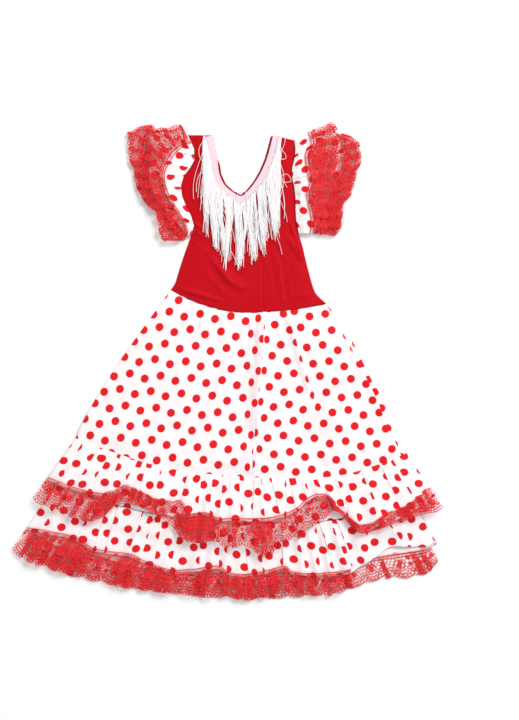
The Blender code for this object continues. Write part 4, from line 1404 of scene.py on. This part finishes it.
def make_lace(name, path, depth, place, material, nodes, cell=CELL, fine=True):
    """Net with cells that are open or solid, its picots and the cords that outline its pattern."""
    columns = max(int(path.total / cell), 6)
    rows = max(int(depth / (cell * 0.866)), 5)
    chance = np.random.default_rng(len(name) + columns)

    def point(s, t, lift=0.0):
        share, layer, turned = path.at(s)
        share = np.clip(share, 0.0, 1.0)
        phase = (np.asarray(s) / FLOWER_REPEAT) % 1.0
        edge = 1.0 - SCALLOP / depth * (1.0 - np.abs(np.sin(math.pi * phase)))
        across = np.clip(t / depth, 0.0, 1.1) * edge
        across = mix(across, 1.0 - across, turned)
        lift = lift + TURN_LIFT * (1.0 - abs(2.0 * turned - 1.0))
        x, y, z = place(share, across, turned)
        z = z + 0.7 * layer + 0.35 * (1.0 + soft_noise(s, t, 9.0, 5)) + lift
        return np.stack([x, y, z], axis=-1)

    centres_i, centres_j = np.meshgrid(np.arange(columns), np.arange(rows))
    pitch = path.total / (columns + 0.5)
    centres_s = (centres_i + 0.5 + 0.5 * (centres_j % 2)).ravel() * pitch
    centres_t = (centres_j.ravel() + 0.5) * depth / rows
    corner_turn = np.radians(30.0 + 60.0 * np.arange(6))
    reach_s = pitch / math.sqrt(3.0)
    reach_t = depth / rows * 2.0 / 3.0
    corner_s = centres_s[:, None] + reach_s * np.cos(corner_turn)[None, :]
    corner_t = centres_t[:, None] + reach_t * np.sin(corner_turn)[None, :]
    keys = np.stack([np.round(corner_s / pitch * 2.0), np.round(corner_t / reach_t * 2.0)], axis=-1)
    _, first, corner_index = np.unique(
        keys.reshape(-1, 2), axis=0, return_index=True, return_inverse=True
    )
    corner_index = corner_index.reshape(-1, 6)
    shared_s = corner_s.ravel()[first] + chance.uniform(-0.25, 0.25, len(first))
    shared_t = corner_t.ravel()[first] + chance.uniform(-0.25, 0.25, len(first))

    hole = lace_pattern(centres_s, centres_t, depth)
    solid_cells = hole < SOLID_BELOW
    hole = np.clip(hole + chance.uniform(-0.06, 0.05, len(hole)), 0.1, 0.93)
    inner_s = centres_s[:, None] + (shared_s[corner_index] - centres_s[:, None]) * hole[:, None]
    inner_t = centres_t[:, None] + (shared_t[corner_index] - centres_t[:, None]) * hole[:, None]
    inner_index = len(first) + np.arange(len(centres_s) * 6).reshape(-1, 6)
    after = np.roll(np.arange(6), -1)
    rings = np.stack(
        [corner_index, corner_index[:, after], inner_index[:, after], inner_index], axis=-1
    ).reshape(-1, 4)
    all_s = np.concatenate([shared_s, inner_s.ravel()])
    all_t = np.concatenate([shared_t, inner_t.ravel()])
    points = [point(all_s, np.clip(all_t, 0.0, depth))]
    uv = [np.stack([all_s, all_t], axis=-1) * MM]
    faces = [upward(points[0], rings)]
    if solid_cells.any():
        faces.append(upward(points[0], inner_index[solid_cells]))

    count = len(points[0])
    for s, t, radius in lace_cords(path.total, depth, fine):
        made, quads = tube(point(s, t, 0.4), radius, 3, count)
        points.append(made)
        uv.append(np.repeat(np.stack([s, t], axis=-1), 3, axis=0) * MM)
        faces.append(quads)
        count += len(made)
    made = mesh_object(name, np.concatenate(points), faces, material, np.concatenate(uv))
    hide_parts(*nodes)
    return made


def lace_cords(total, depth, fine):
    """Lines of thread on a lace: along its header and its waves, round its flowers and its picots."""
    cords = []
    s = np.linspace(0.5, total - 0.5, int(total / 2.2))
    cords.append((s, np.full_like(s, 0.4), CORD_RADIUS))
    cords.append((s, np.full_like(s, HEADER_WIDTH + 0.2), CORD_RADIUS))
    if fine:
        for offset, radius in ((-2.6, 0.6), (2.6, 0.7), (7.4, 0.6)):
            cords.append((s, light_wave(s, depth) + offset, radius))
        turn = np.linspace(0.0, math.tau, 19)
        for centre in np.arange(FLOWER_REPEAT / 2, total - 6.0, FLOWER_REPEAT):
            for radius, swell in ((2.6, 0.0), (8.4, 0.16)):
                size = radius * (1.0 + swell * np.cos(6.0 * turn))
                t = depth * FLOWER_ROW + size * np.sin(turn)
                cords.append((centre + size * np.cos(turn), t, 0.6))
    turn = np.linspace(-0.5, math.pi + 0.5, 9)
    for centre in np.arange(PICOT_PITCH / 2, total, PICOT_PITCH):
        t = depth + PICOT_RADIUS * 1.1 * np.sin(turn) - 0.3
        cords.append((centre + PICOT_RADIUS * np.cos(turn), t, PICOT_CORD))
    return cords


def fan_lace(span, start, end, level, lift, folds=None, turned_start=None):
    """Function that places lace on a ruffle's edge, a share along it and a share across it."""

    def place(along, across, turned):
        angle = mix(span[0], span[1], along)
        inner = start(angle)
        if turned_start is not None:
            inner = mix(inner, turned_start(angle), turned)
        outer = np.maximum(end(angle), inner + 2.0)
        radius = mix(inner, outer, across)
        x, y = from_fan(angle, radius)
        z = level(angle, radius) + lift
        if folds is not None:
            bent = angle - 0.5 * folds.lean(angle)
            z = z + 0.7 * folds.height(bent, radius, np.full_like(radius, 0.6))
        return x, y, z

    return place


def band_length(span, hem):
    """Length of a band's edge in millimetres."""
    angle = np.linspace(span[0], span[1], 400)
    x, y = from_fan(angle, hem(angle))
    return float(np.hypot(np.diff(x), np.diff(y)).sum())


def band_depth(span, seam, hem):
    """Mean depth of a band from its seam to its hem in millimetres."""
    angle = np.linspace(span[0], span[1], 200)
    return float((hem(angle) - seam(angle)).mean())


def make_upper_ruffle(cotton, inside, lace):
    """The upper ruffle and its lace, in front and behind."""
    folds = ruffle_folds(UPPER_FOLDS, UPPER_SPAN, UPPER_SPREAD, 31)
    place = ruffle_place(
        UPPER_SPAN, UPPER_SEAM_REACH.at, UPPER_HEM_REACH.at, upper_level, folds, (20.0, 10.0)
    )
    u = folds.columns(180, UPPER_SPREAD)
    v = np.linspace(0.0, 1.0, 33)
    front = cloth("upper_ruffle_front", u, v, place, cotton)

    def lace_start(angle):
        return UPPER_HEM_REACH.at(angle) - HEADER_WIDTH - HEADER_INSET

    path = LacePath(band_length(UPPER_SPAN, UPPER_HEM_REACH.at), UPPER_PLEATS, UPPER_TURNS)
    lay = fan_lace(
        UPPER_SPAN, lace_start, UPPER_LACE_LOW_REACH.at, upper_level, LACE_RIDE, folds,
        UPPER_LACE_TOP_REACH.at,
    )
    front_lace = make_lace(
        "upper_lace_front_net", path, LACE_DEPTH, lay, lace, ["upper_lace_front"]
    )

    def back_hem(angle):
        return UPPER_SEAM_REACH.at(angle) + UPPER_BACK_DEPTH

    def back_lace_end(angle):
        return back_hem(angle) + UPPER_BACK_LACE

    place = back_ruffle_place(UPPER_SPAN, UPPER_SEAM_REACH.at, back_hem, upper_back_level, (5.0, 25.0))
    u = np.linspace(0.0, 1.0, 141)
    v = np.linspace(0.0, 1.0, 16)
    back = cloth("upper_ruffle_back", u, v, place, inside)
    path = LacePath(band_length(UPPER_SPAN, back_hem), ())
    lay = fan_lace(UPPER_SPAN, back_hem, back_lace_end, upper_back_level, 0.4)
    back_lace = make_lace(
        "upper_lace_back_net", path, UPPER_BACK_LACE, lay, lace, ["upper_lace_back"], COARSE_CELL, False
    )
    depth = band_depth(UPPER_SPAN, UPPER_SEAM_REACH.at, UPPER_HEM_REACH.at)
    back_length = band_length(UPPER_SPAN, back_hem) * BACK_FULLNESS
    gores = ["skirt_front_left_cloth", "skirt_front_right_cloth"]
    return [
        (front, [front_lace], (folds.length, depth), gores),
        (back, [back_lace], (back_length, UPPER_BACK_DEPTH), []),
    ]


def make_lower_ruffle(cotton, inside, lace):
    """The lower ruffle and its lace, in front and behind."""
    folds = ruffle_folds(LOWER_FOLDS, LOWER_SPAN, LOWER_SPREAD, 57)

    def seam(angle):
        return LOWER_SEAM_REACH.at(angle) + 2.0 * SEAM

    place = ruffle_place(LOWER_SPAN, seam, LOWER_HEM_REACH.at, lower_level, folds, (33.0, 41.0))
    u = folds.columns(180, LOWER_SPREAD)
    v = np.linspace(0.0, 1.0, 35)
    front = cloth("lower_ruffle_front", u, v, place, cotton)

    def lace_start(angle):
        return LOWER_HEM_REACH.at(angle) - HEADER_WIDTH - HEADER_INSET

    path = LacePath(band_length(LOWER_LACE_SPAN, LOWER_HEM_REACH.at), LOWER_PLEATS)
    lay = fan_lace(LOWER_LACE_SPAN, lace_start, LOWER_LACE_LOW_REACH.at, lower_level, LACE_RIDE, folds)
    front_lace = make_lace("lower_lace_front_net", path, LACE_DEPTH, lay, lace, ["lower_lace_front"])

    place = back_ruffle_place(LOWER_SPAN, seam, LOWER_HEM_BACK_REACH.at, lower_back_level, (12.0, 8.0))
    u = np.linspace(0.0, 1.0, 161)
    v = np.linspace(0.0, 1.0, 24)
    back = cloth("lower_ruffle_back", u, v, place, inside)
    path = LacePath(band_length(LOWER_LACE_BACK_SPAN, LOWER_HEM_BACK_REACH.at), LOWER_BACK_PLEATS)
    lay = fan_lace(
        LOWER_LACE_BACK_SPAN, LOWER_HEM_BACK_REACH.at, LOWER_LACE_BACK_REACH.at, lower_back_level, 0.8
    )
    back_lace = make_lace(
        "lower_lace_back_net", path, LACE_DEPTH, lay, lace, ["lower_lace_back"], OPEN_CELL
    )
    depth = band_depth(LOWER_SPAN, seam, LOWER_HEM_REACH.at)
    back_length = band_length(LOWER_SPAN, LOWER_HEM_BACK_REACH.at) * BACK_FULLNESS
    back_depth = band_depth(LOWER_SPAN, seam, LOWER_HEM_BACK_REACH.at)
    return [
        (front, [front_lace], (folds.length, depth), [back]),
        (back, [back_lace], (back_length, back_depth), ["upper_lace_back_net"]),
    ]


# Sleeves


def polyline(points, fraction):
    """Points on straight runs between points, each run taking the same share of the fraction."""
    points = np.array(points, float)
    place = np.clip(fraction, 0.0, 1.0) * (len(points) - 1)
    order = np.arange(len(points))
    return np.stack([np.interp(place, order, points[:, k]) for k in (0, 1)], axis=-1)


def tier_level(kind, u, v, waves, height):
    """Height of a sleeve tier's underside, u down the armhole and v outwards."""
    base = TIER_LEVELS[kind]
    if kind == "top":
        base = mix(base, TOP_TIER_CREST, ease(v / TIER_CREST_SHARE))
    uneven = 0.7 + 0.3 * np.sin(11.0 * u + waves)
    crest = uneven * (0.5 - 0.5 * np.cos(2.0 * math.pi * (waves * u + 0.3 * np.sin(7.0 * u))))
    ends = ease(u / TIER_END_SHARE) * ease((1.0 - u) / TIER_END_SHARE)
    return base + height * crest * ends * np.minimum(v, 1.0)


class SleeveTier:
    """One tier of a sleeve: its cloth from the armhole to its header, and its lace."""

    def __init__(self, rows, outline, kind):
        self.kind = kind
        side = 1.0 if rows[0][0] < 0 else -1.0
        self.side = side
        first = ARMHOLE_ROW - 1 if side > 0 else ARMHOLE_ROW
        self.armhole = [(x - side * SEAM, y) for x, y, _, _ in reversed(rows[first:])]
        under = kind in ("under", "back_under")
        self.header = Edge(outline["under_header" if under else "header"])
        self.edge = Edge(outline["under_lace" if under else "lace"])
        self.waves = UNDER_TIER_WAVES if under else TOP_TIER_WAVES
        self.height = {"top": TOP_TIER_WAVE_HEIGHT, "under": UNDER_TIER_WAVE_HEIGHT}.get(kind, 0.0)
        self.share = 1.0 if self.height else BACK_TIER_SHARE

    def ends(self, u):
        inner = polyline(self.armhole, u)
        if self.kind == "top":
            early = mix(TOP_TIER_START, TOP_TIER_CLEAR, np.asarray(u) / TOP_TIER_CLEAR)
            inner = polyline(self.armhole, np.where(np.asarray(u) < TOP_TIER_CLEAR, early, u))
        outer = mix(inner, self.header.at(u), self.share)
        rim = mix(inner, self.edge.at(u), self.share)
        return inner, outer, rim

    def level(self, u, v):
        return tier_level(self.kind, u, v, self.waves, self.height)

    def cloth(self, folds, offset):
        """Function that places the tier's cloth, u down the armhole and v outwards."""

        def place(u, v):
            inner, outer, _ = self.ends(u)
            point = mix(inner, outer, v[..., None])
            ends = ease(u / TIER_END_SHARE) * ease((1.0 - u) / TIER_END_SHARE)
            z = self.level(u, v) + WALL
            s = u * self.header.length
            if self.height:
                angle = mix(TIER_SPAN[0], TIER_SPAN[1], u)
                z = z + 0.9 * folds.height(angle, TIER_SPREAD, v) * ends * ease(v / 0.06)
                s = folds.print_place(angle, TIER_SPREAD, v) * TIER_FULLNESS
            t = v * np.linalg.norm(outer - inner, axis=-1)
            return point[..., 0], point[..., 1], z, t + offset[0], offset[1] - s

        return place

    def lace(self):
        """Function that places the tier's lace, a share along it and a share across it."""

        def place(along, across, _):
            inner, outer, rim = self.ends(along)
            overlap = LACE_START.get(self.kind, 1.0)
            start = mix(inner, outer, overlap)
            point = mix(start, rim, np.asarray(across)[..., None])
            level = self.level(along, mix(overlap, 1.0, np.minimum(across, 1.0)))
            lift = WALL + 1.1 if self.height else 0.5
            return point[..., 0], point[..., 1], level + lift

        return place


def make_sleeves(cotton, inside, lace):
    """Two tiers with lace on each armhole, in front and behind."""
    made = []
    sizes = {"top": (90, 31), "under": (80, 25), "back_top": (40, 9), "back_under": (40, 9)}
    for label, rows, outline in (("left", LEFT_ROWS, LEFT_SLEEVE), ("right", RIGHT_ROWS, RIGHT_SLEEVE)):
        for number, kind in enumerate(TIER_LEVELS):
            tier = SleeveTier(rows, outline, kind)
            name = f"sleeve_{label}_{kind}"
            across, down = sizes[kind]
            fold_rows = [
                (mix(TIER_SPAN[0], TIER_SPAN[1], share), hidden, side, height, reach)
                for share, hidden, side, height, reach in TIER_FOLDS[label]
            ]
            folds = Folds(fold_rows, TIER_SPAN, TIER_SPREAD, 90 + number)
            u = folds.columns(across, TIER_SPREAD) if tier.height else np.linspace(0.0, 1.0, across)
            place = tier.cloth(folds, TIER_PRINT[label])
            material = cotton if tier.height else inside
            v = np.linspace(0.0, 1.0, down)
            sheet = shell(f"{name}_cloth", u, v, place, material, [f"{name}_tier"])
            pleats = ((centre, width * LACE_FULLNESS[label]) for centre, width in SLEEVE_PLEATS[kind])
            path = LacePath(tier.edge.length, tuple(pleats))
            cell = CELL if tier.height else COARSE_CELL
            net = make_lace(
                f"{name}_net", path, LACE_DEPTH, tier.lace(), lace, [f"{name}_lace"], cell, bool(tier.height)
            )
            inner, outer, _ = tier.ends(np.linspace(0.0, 1.0, 41))
            depth = float(np.linalg.norm(outer - inner, axis=-1).mean())
            size = (folds.length * TIER_FULLNESS if tier.height else tier.header.length, depth)
            below = made[-1][0] if made and made[-1][4] == label else None
            made.append((sheet, [net], size, [below] if below else [], label))
    return [row[:4] for row in made]


# Neck


def neck_line():
    """The V neck's edge from the left shoulder round to the right one."""
    left = [row[2:] for row in reversed(LEFT_ROWS[NECK_ROW:])]
    right = [row[2:] for row in RIGHT_ROWS[NECK_ROW + 1:]]
    return Edge(left + right)


def make_neck(tape_material, thread):
    """The tape round the V neck, and the fringe's threads in clumps that hang from it."""
    bottom = WALL + SEAM + ROOM + WALL + SEAM
    inner_edge = neck_line()
    outer_edge = Edge(TAPE_OUTER)

    def place(u, v):
        point = mix(inner_edge.at(u), outer_edge.at(u), v[..., None])
        rib = 0.18 * np.sin(v * math.pi * 6.0) + 0.12 * np.sin(u * 900.0)
        crown = 0.5 * np.sin(v * math.pi)
        z = bottom + WALL + rib + crown
        return point[..., 0], point[..., 1], z, u * outer_edge.length, v * 12.0

    u = np.linspace(0.0, 1.0, 241)
    v = np.linspace(0.0, 1.0, 19)
    tape = shell("neck_tape", u, v, place, tape_material, ["neck_fringe"])

    bundle = Bundle()
    steps = np.linspace(0.0, 1.0, THREAD_STEPS)
    for clump in range(FRINGE_CLUMPS):
        share = (clump + 0.5 + random.uniform(-0.3, 0.3)) / FRINGE_CLUMPS
        lean = table_value(STRAND_LEAN, share) + random.normal(0.0, 3.5)
        length = table_value(STRAND_LENGTHS, share) * random.uniform(0.82, 1.05)
        clump_z = random.uniform(0.0, 1.6)
        bend = random.normal(0.0, 2.0)
        root = outer_edge.at(np.array(share))
        tip = root[0] + lean
        pull = TUFT_PULL * (min(FRINGE_TUFTS, key=lambda tuft: abs(tuft - tip)) - tip)
        for _ in range(round(table_value(CLUMP_THREADS, share))):
            stray = random.uniform() < STRAY_SHARE
            start = outer_edge.at(np.clip(share + random.normal(0.0, 0.008), 0.0, 1.0))
            own_length = length * random.uniform(0.82, 1.03)
            spread = random.normal(0.0, THREAD_SPREAD[stray])
            sway = random.normal(0.0, THREAD_SWAY[stray])
            x = mix(start[0], root[0] + spread, ease(steps)) + lean * steps
            x = x + pull * ease((steps - 0.3) / 0.7)
            x = x + bend * np.sin(steps * 3.0) + sway * np.sin(steps * 6.0 + random.uniform(0.0, 6.0))
            y = start[1] + random.uniform(0.0, ROOT_SPREAD) - own_length * steps
            z = bottom + 1.8 + clump_z * ease(steps * 3.0) + random.uniform(0.0, 1.0)
            z = z + 0.5 * np.sin(steps * 5.0 + random.uniform(0.0, 6.0)) * ease(steps * 2.0)
            line = np.stack([x, y, z + 0.6 * ease(steps)], axis=-1)
            bundle.add(line, THREAD_RADIUS * (1.0 - 0.1 * steps), 4)
    for corners in LOOSE_THREADS:
        flat = Edge(corners).at(np.linspace(0.0, 1.0, 20))
        z = np.full(len(flat), bottom + 4.0)
        bundle.add(np.column_stack([flat, z]), THREAD_RADIUS, 4)
    fringe = bundle.build("neck_fringe_threads", thread)
    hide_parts("neck_fringe")
    return tape, fringe


# Seams


def stitched_edge(name, line, radius, pitch, material):
    """Overlocked edge: a thin cord with short slanted stitches wrapped round it."""
    line = np.asarray(line, float)
    steps = np.linalg.norm(np.diff(line, axis=0), axis=1)
    knots = np.concatenate([[0.0], np.cumsum(steps)])
    fine = np.arange(0.0, knots[-1], STITCH_STEP)
    smooth = np.stack([np.interp(fine, knots, line[:, k]) for k in range(3)], axis=-1)
    bundle = Bundle()
    bundle.add(smooth, radius * (1.0 + 0.12 * np.sin(fine * 1.9)), 5)
    ahead = np.gradient(smooth, axis=0)
    ahead /= np.linalg.norm(ahead, axis=1, keepdims=True)
    across = np.cross(ahead, [0.0, 0.0, 1.0])
    for place in np.arange(pitch, knots[-1] - pitch, pitch):
        centre = np.array([np.interp(place, knots, line[:, k]) for k in range(3)])
        index = min(int(place / STITCH_STEP), len(fine) - 1)
        turn = np.linspace(-0.2, math.pi + 0.2, 5)[:, None]
        stitch = centre + across[index] * np.cos(turn) * radius * 1.25
        stitch = stitch + np.array([0.0, 0.0, 1.0]) * np.sin(turn) * radius * 1.25
        stitch = stitch + ahead[index] * np.cos(turn) * STITCH_SLANT
        bundle.add(stitch, 0.3, 3)
    return bundle.build(name, material)


def sampled(place, u, v):
    """Line of top points on a surface, at shares u and v."""
    x, y, z, _, _ = place(np.asarray(u, float), np.asarray(v, float))
    return np.stack([x, y, z], axis=-1)


def make_seams(dark, red):
    """Overlocked waist, armholes and back neck."""
    shares = np.linspace(0.01, 0.99, 80)
    ones = np.ones_like(shares)
    made = {}
    for label, rows, sag, side in (
        ("left", LEFT_ROWS, LEFT_WAIST_SAG, 1.0), ("right", RIGHT_ROWS, RIGHT_WAIST_SAG, -1.0),
    ):
        front = bodice_place(rows, sag, side, False)
        back = bodice_place(rows, sag, side, True)
        last = len(rows) - 1
        waist_line = sampled(front, shares, 0.0 * ones)
        waist_line[:, 1] += 0.8 * soft_noise(waist_line[:, 0], 0.0 * shares, 6.0, 8)
        waist_edge = stitched_edge(
            f"bodice_{label}_waist_overlock", waist_line - [0.0, 0.0, 0.3], 0.9, 2.2, red
        )
        armhole = sampled(front, 0.0 * ones, mix(ARMHOLE_ROW / last, 1.0, shares))
        armhole_edge = stitched_edge(f"bodice_{label}_armhole_seam", armhole, 0.8, 2.4, red)
        neck = sampled(back, ones, mix((NECK_ROW + 0.2) / last, 1.0, shares))
        neck_edge = stitched_edge(
            f"bodice_{label}_back_neck_overlock", neck - [0.0, 0.0, 0.2], 1.0, 2.4, dark
        )
        made[f"{label}_front"] = [waist_edge, armhole_edge]
        made[f"{label}_back"] = [neck_edge]
    return made


UPPER_SEAM_REACH = Reach(UPPER_SEAM)
UPPER_HEM_REACH = Reach(UPPER_HEM)
UPPER_LACE_TOP_REACH = Reach(UPPER_LACE_TOP)
UPPER_LACE_LOW_REACH = Reach(UPPER_LACE_LOW)
LOWER_SEAM_REACH = Reach(LOWER_SEAM)
LOWER_HEM_REACH = Reach(LOWER_HEM)
LOWER_HEM_BACK_REACH = Reach(LOWER_HEM_BACK)
LOWER_LACE_LOW_REACH = Reach(LOWER_LACE_LOW)
LOWER_LACE_BACK_REACH = Reach(LOWER_LACE_BACK_LOW)


# Setting


def make_setting():
    """Pale floor, soft light and the camera straight above."""
    half = 3.0
    mesh = bpy.data.meshes.new("floor")
    corners = [(-half, -half, 0.0), (half, -half, 0.0), (half, half, 0.0), (-half, half, 0.0)]
    mesh.from_pydata(corners, [], [(0, 1, 2, 3)])
    floor = bpy.data.objects.new("floor", mesh)
    bpy.context.scene.collection.objects.link(floor)
    material, _, _ = new_material("floor_paper", FLOOR_WHITE, 0.9)
    mesh.materials.append(material)

    world = bpy.data.worlds.new("studio")
    world.use_nodes = True
    world.node_tree.nodes["Background"].inputs["Color"].default_value = (1.0, 1.0, 1.0, 1.0)
    world.node_tree.nodes["Background"].inputs["Strength"].default_value = WORLD_STRENGTH
    bpy.context.scene.world = world

    for name, place, energy, size in LAMPS:
        light = bpy.data.lights.new(name, "AREA")
        light.energy = energy
        light.size = size
        lamp = bpy.data.objects.new(name, light)
        lamp.location = place
        aim = Vector((0.0, 0.0, 0.0)) - Vector(place)
        lamp.rotation_euler = aim.to_track_quat("-Z", "Y").to_euler()
        bpy.context.scene.collection.objects.link(lamp)

    lens = bpy.data.cameras.new("camera")
    lens.sensor_width = 36.0
    lens.lens = lens.sensor_width * CAMERA_HEIGHT / (PHOTO_HEIGHT * PIXEL)
    lens.clip_start = 0.1
    lens.clip_end = 20.0
    camera = bpy.data.objects.new("camera", lens)
    camera.location = (
        (LOOK_AT[0] - CENTRE_X) * MM,
        (LOOK_AT[1] - CENTRE_Y) * MM,
        (LOOK_AT[2] + CAMERA_HEIGHT) * MM,
    )
    bpy.context.scene.collection.objects.link(camera)
    bpy.context.scene.camera = camera
    bpy.context.scene.view_settings.view_transform = "Standard"


def main():
    """Builds the dress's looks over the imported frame."""
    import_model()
    make_setting()

    knit = bodice_knit()
    cotton = printed_cotton("dotted_cotton_face", WHITE_COTTON, SHADED_COTTON, DOT_RED, True)
    inside = printed_cotton("dotted_cotton_inside", INSIDE_COTTON, SHADED_COTTON, INSIDE_DOT, False)
    lace = lace_thread()
    white = plain_thread("fringe_thread", FRINGE_WHITE, 0.5, 0.04)
    tape = plain_thread("tape_satin", TAPE_PINK, 0.5, 0.12)
    dark = plain_thread("overlock_dark", THREAD_DARK, 0.6, 0.3)
    red = plain_thread("overlock_red", THREAD_RED, 0.6, 0.3)

    front_left, back_left, front_right, back_right = make_bodice(knit)
    skirt_left, skirt_right, skirt_back = make_skirt(cotton)
    neck_pieces = make_neck(tape, white)
    seams = make_seams(dark, red)
    for strips in (
        make_upper_ruffle(cotton, inside, lace),
        make_lower_ruffle(cotton, inside, lace),
        make_sleeves(cotton, inside, lace),
    ):
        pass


main()
